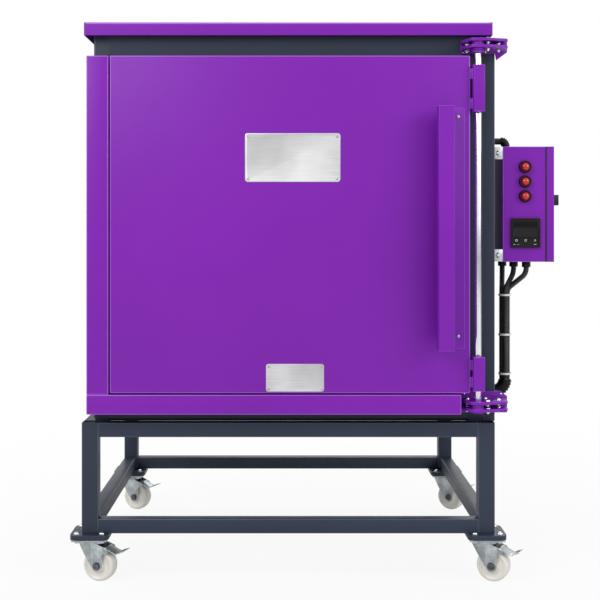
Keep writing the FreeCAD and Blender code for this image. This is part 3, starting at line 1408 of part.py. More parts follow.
# Control box door on two pin hinges at its rear edge
door_block = box("BoxDoorBlock", ("box_door_left", "box_door_right"), ("box_front", "box_rear"),
                 ("box_bottom", "box_top"))
door_space = box("BoxDoorSpace", ("box_door_left - overlap", "box_door_right - box_sheet"), inside_y,
                 inside_z)
lock_hole = cylinder("LockHole", "x", "lock_radius + running_gap", ("lock_y", "lock_height"),
                     "box_door_right - box_sheet - overlap", "box_door_right + overlap")
door_pan = cut("BoxDoorPan", door_block, [door_space, lock_hole])
door_pieces = [door_pan]
hinge_pieces = []
for number, low in enumerate(("box_bottom + box_hinge_inset",
                              "box_top - box_hinge_inset - 2 * box_knuckle_length")):
    axis = ("box_hinge_x", "box_hinge_y")
    middle = f"{low} + box_knuckle_length"
    top = f"{low} + 2 * box_knuckle_length"
    outer_low = cylinder(f"LowKnuckle{number}", "z", "box_hinge_radius", axis, low,
                         f"{middle} - lining_gap")
    leaf = box(f"HingeLeaf{number}", ("box_right - box_leaf_width", "box_hinge_x"),
               ("box_rear", "box_rear + box_leaf_thickness"), (low, f"{middle} - lining_gap"))
    leaf_riser = box(f"HingeRiser{number}",
                     ("box_hinge_x - box_leaf_thickness", "box_hinge_x + box_leaf_thickness"),
                     ("box_rear + overlap", "box_hinge_y"), (low, f"{middle} - lining_gap"))
    pin = cylinder(f"HingePin{number}", "z", "box_hinge_pin_radius", axis, f"{middle} - overlap", top)
    hinge_pieces.append(fuse(f"BoxHinge{number}", [outer_low, leaf, leaf_riser, pin]))
    barrel = cylinder(f"HighKnuckle{number}", "z", "box_hinge_radius", axis, middle, top)
    arm = box(f"KnuckleArm{number}", ("box_hinge_x", "box_hinge_x + box_hinge_radius"),
              ("box_rear - overlap", "box_hinge_y"), (middle, top))
    bore = cylinder(f"KnuckleBore{number}", "z", "box_hinge_pin_radius + running_gap", axis,
                    f"{middle} - overlap", f"{top} + overlap")
    door_pieces.append(cut(f"DoorKnuckle{number}", fuse(f"KnuckleJoined{number}", [barrel, arm]), [bore]))
sub_part("control_box_hinges", hinge_pieces)
sub_part("control_box_door", [fuse("ControlBoxDoor", door_pieces)])

# Quarter-turn lock: flange, wing and barrel through the door, with its cam upright inside
cam_right = "box_right - box_sheet - lock_cam_gap"
lock_axis = ("lock_y", "lock_height")
lock_flange = cylinder("LockFlange", "x", "lock_flange_radius", lock_axis,
                       "box_door_right + lining_gap", "box_door_right + lock_reach * 0.4")
lock_wing = box("LockWing", ("box_door_right + overlap", "box_door_right + lock_reach"),
                ("lock_y - lock_wing / 2", "lock_y + lock_wing / 2"),
                ("lock_height - lock_flange_radius + overlap",
                 "lock_height + lock_flange_radius - overlap"))
lock_barrel = cylinder("LockBarrel", "x", "lock_radius", lock_axis,
                       "box_door_right - lock_barrel_depth", "box_door_right + 2 * overlap")
lock_spindle = cylinder("LockSpindle", "x", "lock_radius / 2", lock_axis,
                        f"{cam_right} - lock_cam_thickness - 2 * overlap",
                        "box_door_right - lock_spindle_depth")
lock_cam = box("LockCam", (f"{cam_right} - lock_cam_thickness", cam_right),
               ("lock_y - lock_cam_width / 2", "lock_y + lock_cam_width / 2"),
               ("lock_height - lock_cam_width / 2", "lock_height + lock_cam_reach"))
sub_part("control_box_lock", [fuse("ControlBoxLock", [lock_flange, lock_wing, lock_barrel,
                                                      lock_spindle, lock_cam])])

# Glands: on the control box's bottom, top and rear, and on the kiln's side wall
glands = []
for name, centre in gland_places.items():
    outside = hexagon(f"Gland{name}Outside", "z", "gland_radius", centre, "gland_low", "box_bottom")
    inside = hexagon(f"Gland{name}Nut", "z", "gland_radius", centre,
                     "box_bottom + box_sheet", "box_bottom + box_sheet + gland_nut")
    joint = cylinder(f"Gland{name}Neck", "z", "gland_neck_radius", centre,
                     "gland_low + overlap", "box_bottom + box_sheet + overlap")
    bore = cylinder(f"Gland{name}Bore", "z", "conduit_radius + conduit_gap", centre,
                    "gland_low - overlap", "box_bottom + box_sheet + gland_nut + overlap")
    glands.append(cut(f"Gland{name}", fuse(f"Gland{name}Joined", [outside, inside, joint]), [bore]))
elbow_centre = ("elbow_x", "elbow_y")
elbow_foot = hexagon("ElbowGland", "z", "gland_radius", elbow_centre, "box_top",
                     "box_top + elbow_foot_height")
elbow_bore = "elbow_radius + conduit_gap"
elbow_foot_bore = cylinder("ElbowGlandBore", "z", elbow_bore, elbow_centre,
                           "box_top - overlap", "box_top + elbow_foot_height + overlap")
glands.append(cut("ElbowGlandCut", elbow_foot, [elbow_foot_bore]))
wall_x = ("body_outside", "body_outside + gland_length")
elbow_entry = ("elbow_y", "elbow_height - elbow_radius")
elbow_wall = hexagon("ElbowWallGland", "x", "gland_radius + wall_gland_margin", elbow_entry, *wall_x)
elbow_wall_bore = cylinder("ElbowWallBore", "x", elbow_bore, elbow_entry,
                           "body_outside - overlap", "body_outside + gland_length + overlap")
glands.append(cut("ElbowWallCut", elbow_wall, [elbow_wall_bore]))
bundle_wall = cylinder("BundleCollar", "x", "bundle_radius + collar_wall",
                       ("bundle_y", "bundle_entry_height"), *wall_x)
bundle_wall_bore = cylinder("BundleCollarBore", "x", "bundle_radius + conduit_gap",
                            ("bundle_y", "bundle_entry_height"),
                            "body_outside + collar_depth", "body_outside + gland_length + overlap")
glands.append(cut("BundleCollarCut", bundle_wall, [bundle_wall_bore]))
supply_outside = hexagon("SupplyGland", "y", "supply_gland_radius", ("supply_x", "supply_z"),
                         "box_rear", "box_rear + supply_gland_length")
supply_bore = cylinder("SupplyBore", "y", "supply_bore", ("supply_x", "supply_z"),
                       "box_rear - overlap", "box_rear + supply_gland_length + overlap")
glands.append(cut("SupplyGlandCut", supply_outside, [supply_bore]))
sub_part("cable_glands", glands)

# Conduits: three run from the box's bottom into one bundle, down, and into the side wall
conduits = []
spread = value("bundle_ring")
middle = FreeCAD.Vector(value("bundle_x"), value("bundle_y"), 0)
entry = FreeCAD.Vector(value("body_outside + collar_depth + overlap"), 0, value("bundle_entry_height"))
top_of_conduit = value("box_bottom")
fan_top = value("gland_low - fan_top_drop")
fan_bottom = value("fan_bottom")
for (name, centre), turn in zip(gland_places.items(), (-30, 90, 210)):
    away_x = spread * math.cos(math.radians(turn))
    away_y = spread * math.sin(math.radians(turn)) * -1
    start_x, start_y = value(centre[0]), value(centre[1])
    run_x, run_y = middle.x + away_x, middle.y + away_y
    points = [
        FreeCAD.Vector(start_x, start_y, top_of_conduit),
        FreeCAD.Vector(start_x, start_y, fan_top),
        FreeCAD.Vector(run_x, run_y, fan_bottom),
        FreeCAD.Vector(run_x, run_y, entry.z - away_x),
        FreeCAD.Vector(entry.x, run_y, entry.z - away_x),
    ]
    bends = fitted_bends(points)
    bends[1] = value("fan_bend")
    bends[2] = value("bundle_bend") + away_x
    conduits.append(hose(f"Conduit{name}", points, bends, value("conduit_radius")))
elbow_z = value("elbow_height - elbow_radius")
elbow_points = [
    FreeCAD.Vector(value("elbow_x"), value("elbow_y"), value("box_top - box_sheet")),
    FreeCAD.Vector(value("elbow_x"), value("elbow_y"), elbow_z),
    FreeCAD.Vector(value("body_outside"), value("elbow_y"), elbow_z),
]
conduits.append(hose("ElbowConduit", elbow_points, [value("elbow_bend")], value("elbow_radius")))
sub_part("conduits", conduits)

ties = []
for number, drop in enumerate(("upper_tie_drop", "middle_tie_drop", "lower_tie_drop")):
    z = f"box_bottom - {drop}"
    centre = ("bundle_x", "bundle_y")
    inside = "bundle_radius + conduit_gap"
    band = cylinder(f"TieBand{number}", "z", f"{inside} + tie_thickness", centre, z, f"{z} + tie_width")
    hole = cylinder(f"TieHole{number}", "z", inside, centre, f"{z} - overlap", f"{z} + tie_width + overlap")
    ties.append(cut(f"Tie{number}", band, [hole]))
sub_part("cable_ties", ties)

# Check and export
doc.recompute()
for item in doc.Objects:
    if "Invalid" in item.State or "Error" in item.State:
        raise ValueError(f"{item.Label} failed: {item.State}")
for part in finished:
    if part.Shape.isNull() or not part.Shape.isValid():
        raise ValueError(f"{part.Label} has no valid shape")
    part.Shape.exportStep(f"parts/{part.Label}.step")
print(len(finished), "sub-parts")
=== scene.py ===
import bpy
import bmesh
import json
import math
from mathutils import Matrix, Vector

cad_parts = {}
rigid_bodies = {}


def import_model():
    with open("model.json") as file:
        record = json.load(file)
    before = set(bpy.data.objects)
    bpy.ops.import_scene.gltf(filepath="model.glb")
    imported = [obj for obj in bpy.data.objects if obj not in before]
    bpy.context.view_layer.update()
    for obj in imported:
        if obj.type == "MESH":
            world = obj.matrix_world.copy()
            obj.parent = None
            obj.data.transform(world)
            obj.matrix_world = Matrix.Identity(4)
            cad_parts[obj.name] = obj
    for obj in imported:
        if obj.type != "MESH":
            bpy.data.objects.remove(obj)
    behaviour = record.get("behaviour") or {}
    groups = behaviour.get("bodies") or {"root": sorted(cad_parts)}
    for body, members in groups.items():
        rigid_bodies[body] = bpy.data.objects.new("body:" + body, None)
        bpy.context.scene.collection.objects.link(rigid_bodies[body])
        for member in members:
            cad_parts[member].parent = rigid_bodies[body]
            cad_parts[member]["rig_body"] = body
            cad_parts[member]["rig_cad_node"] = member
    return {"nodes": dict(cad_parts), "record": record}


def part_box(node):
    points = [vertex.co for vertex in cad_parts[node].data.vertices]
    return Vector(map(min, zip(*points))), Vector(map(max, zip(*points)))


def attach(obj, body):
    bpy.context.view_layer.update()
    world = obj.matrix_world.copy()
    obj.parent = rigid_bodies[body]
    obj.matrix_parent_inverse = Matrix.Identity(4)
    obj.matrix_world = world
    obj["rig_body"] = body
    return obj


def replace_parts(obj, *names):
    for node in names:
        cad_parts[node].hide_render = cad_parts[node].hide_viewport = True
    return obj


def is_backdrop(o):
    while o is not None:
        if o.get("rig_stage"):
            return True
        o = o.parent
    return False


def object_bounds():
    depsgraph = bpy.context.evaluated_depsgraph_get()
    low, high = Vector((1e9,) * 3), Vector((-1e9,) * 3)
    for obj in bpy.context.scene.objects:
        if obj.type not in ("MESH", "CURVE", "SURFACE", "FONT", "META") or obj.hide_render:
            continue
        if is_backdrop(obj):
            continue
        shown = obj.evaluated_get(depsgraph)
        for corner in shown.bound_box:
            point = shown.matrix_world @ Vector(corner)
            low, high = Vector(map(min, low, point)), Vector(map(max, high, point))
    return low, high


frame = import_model()
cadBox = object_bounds()
nodeBodies = {node: body for body, nodes in frame["record"]["behaviour"]["bodies"].items() for node in nodes}

# Places are given in millimetres from the middle of the stand's front face, as on the drawing
middle = {"x": 71.1, "y": 374.5}
nearness = {"seam": 5e-6, "cadSeam": 2e-6, "onBox": 2e-5, "inLine": 1e-6, "cut": 0.02}  # in metres, cut in mm
flatAngle = math.radians(0.5)  # CAD faces closer than this are one face
sharpAngle = 32  # edges sharper than this are rounded and stay visible, in degrees


def at(x, y, z):
    return Vector(((x - middle["x"]) / 1000, (y - middle["y"]) / 1000, z / 1000))


# ---- how pieces are handled ----
def leaveEdit():
    bpy.ops.object.mode_set(mode="OBJECT")


def deselectAll():
    if bpy.context.mode != "OBJECT":
        leaveEdit()
    bpy.ops.object.select_all(action="DESELECT")


def makeActive(piece):
    deselectAll()
    piece.select_set(True)
    bpy.context.view_layer.objects.active = piece


def editAll(piece):  # edit mode with all of the piece selected
    makeActive(piece)
    bpy.ops.object.mode_set(mode="EDIT")
    bpy.ops.mesh.select_all(action="SELECT")


def applyPlace(piece):
    makeActive(piece)
    bpy.ops.object.transform_apply(location=True, rotation=True, scale=True)


def pick(piece, kind, test):  # selects faces, edges or verts in edit mode by a test
    makeActive(piece)
    bpy.ops.object.mode_set(mode="EDIT")
    bpy.ops.mesh.select_mode(type={"verts": "VERT", "edges": "EDGE", "faces": "FACE"}[kind])
    bpy.ops.mesh.select_all(action="DESELECT")
    mesh = bmesh.from_edit_mesh(piece.data)
    mesh.normal_update()
    for item in getattr(mesh, kind):
        if test(item):
            item.select_set(True)
    mesh.select_flush_mode()
    bmesh.update_edit_mesh(piece.data)


def copyOf(piece):
    copy = piece.copy()
    copy.data = piece.data.copy()
    bpy.context.collection.objects.link(copy)
    return copy


def joined(pieces, name):
    deselectAll()
    for piece in pieces:
        piece.select_set(True)
    bpy.context.view_layer.objects.active = pieces[0]
    if len(pieces) > 1:
        bpy.ops.object.join()
    pieces[0].name = pieces[0].data.name = name
    return pieces[0]


def cleaned(piece):  # closes the seams and turns the faces outwards
    editAll(piece)
    bpy.ops.mesh.remove_doubles(threshold=nearness["seam"])
    bpy.ops.mesh.normals_make_consistent(inside=False)
    leaveEdit()
    return piece


def rounded(piece, width, segments=3, angle=sharpAngle, highlightSlot=-1):  # a bevel on the sharp edges, applied; its faces take the given slot, which holds the painted edge highlight where one is given
    makeActive(piece)
    bevel = piece.modifiers.new("softEdge", "BEVEL")
    bevel.width = width / 1000
    bevel.segments = segments
    bevel.limit_method = "ANGLE"
    bevel.angle_limit = math.radians(angle)
    bevel.miter_outer = "MITER_ARC"
    bevel.material = highlightSlot
    bpy.ops.object.modifier_apply(modifier=bevel.name)
    return piece


def coatedIn(piece, *materials):
    piece.data.materials.clear()
    for material in materials:
        piece.data.materials.append(surfaces[material])


def finished(piece, name, material, body="kiln"):
    piece.name = piece.data.name = name
    if material:
        coatedIn(piece, material)
    makeActive(piece)
    bpy.ops.object.shade_smooth_by_angle(angle=math.radians(sharpAngle))
    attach(piece, body)
    return piece


# ---- starting shapes ----
def block(low, high):
    low, high = Vector(low), Vector(high)
    deselectAll()
    bpy.ops.mesh.primitive_cube_add(size=1, location=at(*((low + high) / 2)), scale=(high - low) / 1000)
    piece = bpy.context.object
    applyPlace(piece)
    return piece


def line(points):  # a chain of edges drawn by extruding one point, in millimetres
    deselectAll()
    bpy.ops.mesh.primitive_plane_add(size=0.001)
    piece = bpy.context.object
    editAll(piece)
    bpy.ops.mesh.merge(type="CENTER")
    bpy.ops.mesh.select_mode(type="VERT")
    bpy.ops.mesh.select_all(action="SELECT")
    here = Vector(points[0]) / 1000
    bpy.ops.transform.translate(value=here)
    for point in points[1:]:
        there = Vector(point) / 1000
        bpy.ops.mesh.extrude_region_move(TRANSFORM_OT_translate={"value": there - here})
        here = there
    leaveEdit()
    return piece


def turned(profile, steps=48):  # a lathe shape round Z from (radius, height) points
    piece = line([(radius, 0, height) for radius, height in profile])
    editAll(piece)
    bpy.ops.mesh.spin(steps=steps, angle=math.tau, center=(0, 0, 0), axis=(0, 0, 1))
    leaveEdit()
    return cleaned(piece)


def plate(corners, thickness):  # a flat shape in XY, pushed up by its thickness
    piece = line([(x, y, 0) for x, y in corners])
    editAll(piece)
    bpy.ops.mesh.edge_face_add()
    bpy.ops.mesh.extrude_region_move(TRANSFORM_OT_translate={"value": (0, 0, thickness / 1000)})
    leaveEdit()
    return cleaned(piece)


axisTurns = {"+Z": Matrix.Identity(4)}
for axis, degrees, about in (("-Z", 180, "X"), ("-Y", 90, "X"), ("+Y", -90, "X"), ("+X", 90, "Y"),
                             ("-X", -90, "Y")):
    axisTurns[axis] = Matrix.Rotation(math.radians(degrees), 4, about)


def placed(piece, spot, axis="+Z"):
    piece.matrix_world = Matrix.Translation(spot) @ axisTurns[axis]
    applyPlace(piece)
    return piece


def spun(piece, degrees, axis="Z"):  # turned on the spot
    piece.rotation_euler["XYZ".index(axis)] = math.radians(degrees)
    applyPlace(piece)
    return piece


def copiesAt(master, spots, name, axis="+Z"):  # one shape modelled once, a copy at each spot
    return joined([placed(copyOf(master), spot, axis) for spot in spots], name)


def discard(piece):
    bpy.data.objects.remove(piece, do_unlink=True)


def repeated(master, spots, name, material, body="kiln", axis="+Z"):  # finished copies, without their master
    pieces = copiesAt(master, spots, name, axis)
    discard(master)
    return finished(pieces, name, material, body)


def ringShape(inner, outer, height, steps, turn):  # few steps make it a triangle or a square
    return spun(turned([(inner, 0), (outer, 0), (outer, height), (inner, height), (inner, 0)], steps), turn)


def roundedSheet(low, high, across, radius):  # a block whose edges square to two axes are rounded
    sheet = block(low, high)
    pick(sheet, "edges", lambda edge: all(abs(edge.verts[0].co[i] - edge.verts[1].co[i]) < nearness["inLine"]
                                          for i in across))
    bpy.ops.mesh.bevel(offset=radius / 1000, segments=6, affect="EDGES")
    leaveEdit()
    return sheet


def framed(sheet, border, step, depth):  # a fine groove round the front face, in millimetres
    pick(sheet, "faces", lambda face: face.normal.y < -0.9)
    bpy.ops.mesh.inset(thickness=border / 1000)
    bpy.ops.mesh.inset(thickness=step / 1000, depth=-depth / 1000)
    leaveEdit()


# ---- shader groups that several finishes share ----
def addNode(tree, kind, slots=None, **settings):  # settings by name, then sockets by number
    node = tree.nodes.new(kind)
    for key, value in settings.items():
        if key in node.inputs:
            node.inputs[key].default_value = value
        else:
            setattr(node, key, value)
    for index, value in (slots or {}).items():
        node.inputs[index].default_value = value
    return node


def wire(tree, *wires):  # each wire: node, output, node, input
    for source, output, target, socket in wires:
        tree.links.new(source.outputs[output], target.inputs[socket])


def mapRange(tree, fromLow=0, fromHigh=1, toLow=0, toHigh=1):
    return addNode(tree, "ShaderNodeMapRange", **{"From Min": fromLow, "From Max": fromHigh,
                                                  "To Min": toLow, "To Max": toHigh})


def mathNode(tree, operation, **settings):
    return addNode(tree, "ShaderNodeMath", operation=operation, **settings)


def computed(tree, operation, *values):  # a Math node's result from numbers and other results
    node = mathNode(tree, operation)
    for socket, value in zip(node.inputs, values):
        if isinstance(value, (int, float)):
            socket.default_value = value
        else:
            tree.links.new(value, socket)
    return node.outputs[0]


def toneRamp(tree, low, high, start=0):
    ramp = addNode(tree, "ShaderNodeValToRGB")
    first, last = ramp.color_ramp.elements
    first.color, last.color, first.position = (*low, 1), (*high, 1), start
    return ramp


def newGroup(name, inputs, outputs):
    group = bpy.data.node_groups.new(name, "ShaderNodeTree")
    for key, default in inputs.items():
        kind = "Float" if isinstance(default, float) else "Color" if len(default) == 4 else "Vector"
        socket = group.interface.new_socket(name=key, in_out="INPUT", socket_type="NodeSocket" + kind)
        socket.default_value = default
    for key, kind in outputs.items():
        group.interface.new_socket(name=key, in_out="OUTPUT", socket_type="NodeSocket" + kind)
    return group, addNode(group, "NodeGroupInput"), addNode(group, "NodeGroupOutput")


print("building the shared shader groups")

# Coat grain: fine orange peel, a slow drift of tone and a little dust in the gloss
coatGrain, groupIn, groupOut = newGroup(
    "coatGrain", {"Color": (0.5, 0.5, 0.5, 1), "Drift": 0.08, "Gloss": 0.4, "Peel": 0.15},
    {"Color": "Color", "Roughness": "Float", "Normal": "Vector"})
where = addNode(coatGrain, "ShaderNodeTexCoord")
slow = addNode(coatGrain, "ShaderNodeTexNoise", Scale=2.2, Detail=3)
fine = addNode(coatGrain, "ShaderNodeTexNoise", Scale=650, Detail=2)
smudge = addNode(coatGrain, "ShaderNodeTexNoise", Scale=14, Detail=5, Roughness=0.65)
shift = mapRange(coatGrain, 0.3, 0.7, -1, 1)
drift = mathNode(coatGrain, "MULTIPLY_ADD", slots={2: 1})
tint = addNode(coatGrain, "ShaderNodeVectorMath", operation="SCALE")
dull = mathNode(coatGrain, "MULTIPLY_ADD", slots={1: 0.14})
peel = addNode(coatGrain, "ShaderNodeBump", Distance=0.0004)
wire(coatGrain, *[(where, "Object", texture, "Vector") for texture in (slow, fine, smudge)],
     (slow, "Fac", shift, "Value"), (shift, "Result", drift, 0), (groupIn, "Drift", drift, 1),
     (groupIn, "Color", tint, 0), (drift, 0, tint, "Scale"), (tint, 0, groupOut, "Color"),
     (smudge, "Fac", dull, 0), (groupIn, "Gloss", dull, 2), (dull, 0, groupOut, "Roughness"),
     (fine, "Fac", peel, "Height"), (groupIn, "Peel", peel, "Strength"),
     (peel, "Normal", groupOut, "Normal"))

# Speckle: two tones mixed by a noise of a given size, with pits of the same size
speckle, groupIn, groupOut = newGroup(
    "speckle", {"Color": (0.5, 0.5, 0.5, 1), "Spots": (0.3, 0.3, 0.3, 1), "Size": 120.0, "Share": 0.5,
                "Depth": 0.3},
    {"Color": "Color", "Mask": "Float", "Normal": "Vector"})
where = addNode(speckle, "ShaderNodeTexCoord")
grain = addNode(speckle, "ShaderNodeTexNoise", Detail=6, Roughness=0.7)
mask = mapRange(speckle)
edge = mathNode(speckle, "ADD", slots={1: 0.16})
mix = addNode(speckle, "ShaderNodeMix", data_type="RGBA")
pits = addNode(speckle, "ShaderNodeBump", Distance=0.001)
wire(speckle, (where, "Object", grain, "Vector"), (groupIn, "Size", grain, "Scale"),
     (grain, "Fac", mask, "Value"), (groupIn, "Share", mask, "From Min"), (groupIn, "Share", edge, 0),
     (edge, 0, mask, "From Max"),
     (mask, "Result", mix, "Factor"), (groupIn, "Color", mix, 6), (groupIn, "Spots", mix, 7),
     (mix, 2, groupOut, "Color"), (mask, "Result", groupOut, "Mask"), (grain, "Fac", pits, "Height"),
     (groupIn, "Depth", pits, "Strength"), (pits, "Normal", groupOut, "Normal"))

# Courses: brick joints, laid out by the way a face looks
courses, groupIn, groupOut = newGroup(
    "courses", {"Color": (0.7, 0.6, 0.5, 1), "Normal": (0, 0, 1)}, {"Color": "Color", "Normal": "Vector"})
where = addNode(courses, "ShaderNodeTexCoord")
axes = addNode(courses, "ShaderNodeSeparateXYZ")
facing = addNode(courses, "ShaderNodeSeparateXYZ")
level = mathNode(courses, "ABSOLUTE")
flat = mathNode(courses, "GREATER_THAN")
along = mathNode(courses, "ADD")
upright = addNode(courses, "ShaderNodeCombineXYZ")
lying = addNode(courses, "ShaderNodeCombineXYZ")
chosen = addNode(courses, "ShaderNodeMix", data_type="VECTOR")
bricks = addNode(courses, "ShaderNodeTexBrick", **{
    "Scale": 1.0, "Brick Width": 0.23, "Row Height": 0.076, "Mortar Size": 0.0013, "Mortar Smooth": 0.4,
    "Color1": (1, 1, 1, 1), "Color2": (0.90, 0.89, 0.86, 1), "Mortar": (0.50, 0.46, 0.40, 1)})
shade = addNode(courses, "ShaderNodeMix", data_type="RGBA", blend_type="MULTIPLY", Factor=1)
dent = addNode(courses, "ShaderNodeBump", Strength=0.8, Distance=0.002, invert=True)
wire(courses, (where, "Object", axes, 0), (where, "Normal", facing, 0), (facing, "Z", level, 0),
     (level, 0, flat, 0), (axes, "X", along, 0), (axes, "Y", along, 1), (along, 0, upright, "X"),
     (axes, "Z", upright, "Y"), (axes, "X", lying, "X"), (axes, "Y", lying, "Y"), (flat, 0, chosen, "Factor"),
     (upright, 0, chosen, 4), (lying, 0, chosen, 5), (chosen, 1, bricks, "Vector"),
     (groupIn, "Color", shade, 6), (bricks, "Color", shade, 7), (shade, 2, groupOut, "Color"),
     (bricks, "Fac", dent, "Height"), (groupIn, "Normal", dent, "Normal"),
     (dent, "Normal", groupOut, "Normal"))


def newMaterial(name, metallic=0.0, roughness=0.5):
    material = bpy.data.materials.new(name)
    material.use_nodes = True
    tree = material.node_tree
    shader = tree.nodes["Principled BSDF"]
    shader.inputs["Metallic"].default_value = metallic
    shader.inputs["Roughness"].default_value = roughness
    return material, tree, shader


def useGroup(tree, group, shader, outputs, **values):
    node = tree.nodes.new("ShaderNodeGroup")
    node.node_tree = group
    for key, value in values.items():
        node.inputs[key].default_value = value
    for output, socket in outputs.items():
        tree.links.new(node.outputs[output], shader.inputs[socket])
    return node


def coated(name, colour, drift, gloss, peel, shine):
    material, tree, shader = newMaterial(name)
    useGroup(tree, coatGrain, shader, {"Color": "Base Color", "Roughness": "Roughness", "Normal": "Normal"},
             Color=(*colour, 1), Drift=drift, Gloss=gloss, Peel=peel)
    shader.inputs["Specular IOR Level"].default_value = shine
    return material


def speckled(name, colour, spots, size, share, depth, gloss, metal):
    material, tree, shader = newMaterial(name, metal, gloss)
    useGroup(tree, speckle, shader, {"Color": "Base Color", "Normal": "Normal"},
             Color=(*colour, 1), Spots=(*spots, 1), Size=size, Share=share, Depth=depth)
    return material


print("mixing the finishes")
coats = {  # colour, drift of its tone, gloss, peel, shine
    "purpleCoat": ((0.2, 0.012, 0.405), 0.06, 0.32, 0.1, 0.25),
    # the lighter entries for edges are copies of the coat above them, put on rounded edges as painted
    # highlights
    "purpleEdgeHighlight": ((0.36, 0.09, 0.62), 0.05, 0.24, 0.05, 0.5),
    "slateCoat": ((0.027, 0.037, 0.061), 0.1, 0.36, 0.16, 0.28),
    "slateEdgeHighlight": ((0.06, 0.076, 0.108), 0.06, 0.3, 0.08, 0.5),
    "blackPlastic": ((0.006, 0.006, 0.007), 0.05, 0.34, 0.08, 0.2),
    "lockPlastic": ((0.014, 0.011, 0.018), 0.05, 0.34, 0.1, 0.25),
    "displayGlass": ((0.003, 0.003, 0.004), 0.02, 0.04, 0.01, 0.3),
    "creamPlastic": ((0.7, 0.68, 0.6), 0.05, 0.4, 0.06, 0.4),
    "keyRubber": ((0.018, 0.018, 0.02), 0.05, 0.5, 0.2, 0.2),
    "tieNylon": ((0.8, 0.8, 0.78), 0.04, 0.35, 0.05, 0.5),
    "wheelNylon": ((0.8, 0.77, 0.71), 0.1, 0.28, 0.1, 0.5),
    "whiteMark": ((0.78, 0.8, 0.8), 0.02, 0.5, 0.02, 0.3),
}
surfaces = {name: coated(name, *values) for name, values in coats.items()}

speckles = {  # colour, colour of the spots, their size, share and depth, gloss, metal
    "zinc": ((0.36, 0.4, 0.41), (0.52, 0.56, 0.57), 40, 0.42, 0.06, 0.34, 0.9),
    "spangleZinc": ((0.5, 0.52, 0.54), (0.74, 0.76, 0.78), 150, 0.46, 0.05, 0.36, 0.85),
    # a lighter zinc for rounded edges: a painted highlight
    "zincEdgeHighlight": ((0.7, 0.73, 0.74), (0.82, 0.84, 0.85), 60, 0.45, 0.03, 0.2, 0.95),
    "brightSteel": ((0.55, 0.56, 0.57), (0.8, 0.81, 0.82), 90, 0.45, 0.03, 0.22, 1.0),
    "chrome": ((0.8, 0.82, 0.83), (0.88, 0.89, 0.9), 30, 0.45, 0.01, 0.16, 1.0),
    "darkSteel": ((0.1, 0.1, 0.11), (0.2, 0.2, 0.21), 80, 0.5, 0.08, 0.42, 0.8),
    "brickFace": ((0.78, 0.7, 0.56), (0.62, 0.52, 0.38), 160, 0.52, 0.6, 0.92, 0),
    "fibreBoard": ((0.8, 0.79, 0.75), (0.7, 0.69, 0.64), 70, 0.5, 0.3, 0.95, 0),
    "kilnShelf": ((0.64, 0.56, 0.44), (0.48, 0.4, 0.3), 260, 0.55, 0.4, 0.85, 0),
    "kilnWash": ((0.82, 0.78, 0.7), (0.7, 0.62, 0.5), 120, 0.54, 0.4, 0.9, 0),
}
surfaces.update({name: speckled(name, *values) for name, values in speckles.items()})

brickTree = surfaces["brickFace"].node_tree  # the brick faces also get their joints
brickShader = brickTree.nodes["Principled BSDF"]
joints = useGroup(brickTree, courses, brickShader, {"Color": "Base Color", "Normal": "Normal"})
grains = next(node for node in brickTree.nodes if node.type == "GROUP" and node.node_tree == speckle)
wire(brickTree, *[(grains, socket, joints, socket) for socket in ("Color", "Normal")])

# Brushed steel for the bare plates: fine scratches along X over a slow cloud
brushed, tree, shader = newMaterial("brushedSteel", 0.9, 0.32)
where = addNode(tree, "ShaderNodeTexCoord")
stretch = addNode(tree, "ShaderNodeMapping", Scale=(12, 900, 900))
scratches = addNode(tree, "ShaderNodeTexNoise", Scale=1, Detail=4)
cloud = addNode(tree, "ShaderNodeTexNoise", Scale=9, Detail=2)
both = mathNode(tree, "MULTIPLY_ADD", slots={1: 0.6})
steelTone = toneRamp(tree, (0.55, 0.55, 0.56), (0.80, 0.80, 0.81), 0.55)
rub = addNode(tree, "ShaderNodeBump", Strength=0.12, Distance=0.0002)
wire(tree, (where, "Object", stretch, "Vector"), (where, "Object", cloud, "Vector"),
     (stretch, 0, scratches, "Vector"), (scratches, "Fac", both, 0), (cloud, "Fac", both, 2),
     (both, 0, steelTone, "Fac"), (steelTone, "Color", shader, "Base Color"),
     (scratches, "Fac", rub, "Height"), (rub, "Normal", shader, "Normal"))
surfaces["brushedSteel"] = brushed


# Waves: close bands for the coiled elements and the rope gasket; their low tone is painted shade in the
# hollows between coil turns and braid strands
def banded(name, waves, scale, low, high, depth, metal, gloss):
    material, tree, shader = newMaterial(name, metal, gloss)
    where = addNode(tree, "ShaderNodeTexCoord")
    height = None
    for direction, turn in waves:
        mapping = addNode(tree, "ShaderNodeMapping", Scale=turn)
        wave = addNode(tree, "ShaderNodeTexWave", Scale=scale, bands_direction=direction)
        wire(tree, (where, "Object", mapping, "Vector"), (mapping, 0, wave, "Vector"))
        height = computed(tree, "MULTIPLY", height, wave.outputs["Fac"]) if height else wave.outputs["Fac"]
    # the colour follows the wave height: darker in the hollows, as painted shade
    tone = toneRamp(tree, low, high)
    relief = addNode(tree, "ShaderNodeBump", Strength=0.9, Distance=depth)
    tree.links.new(height, tone.inputs["Fac"])
    tree.links.new(height, relief.inputs["Height"])
    wire(tree, (tone, "Color", shader, "Base Color"), (relief, "Normal", shader, "Normal"))
    return material


bands = {  # direction and mapping of each wave, their scale, low tone (painted shade in the hollows) and high tone, depth, metal, gloss
    "elementCoil": ([("Y", (1, 1, 1))], 45, (0.03, 0.025, 0.022), (0.26, 0.22, 0.19), 0.003, 0.6, 0.55),
    "ropeBraid": ([("DIAGONAL", (1, 1, 1)), ("DIAGONAL", (1, 1, -1))], 90, (0.42, 0.41, 0.38),
                  (0.82, 0.80, 0.75), 0.0015, 0, 0.95),
}
surfaces.update({name: banded(name, *values) for name, values in bands.items()})


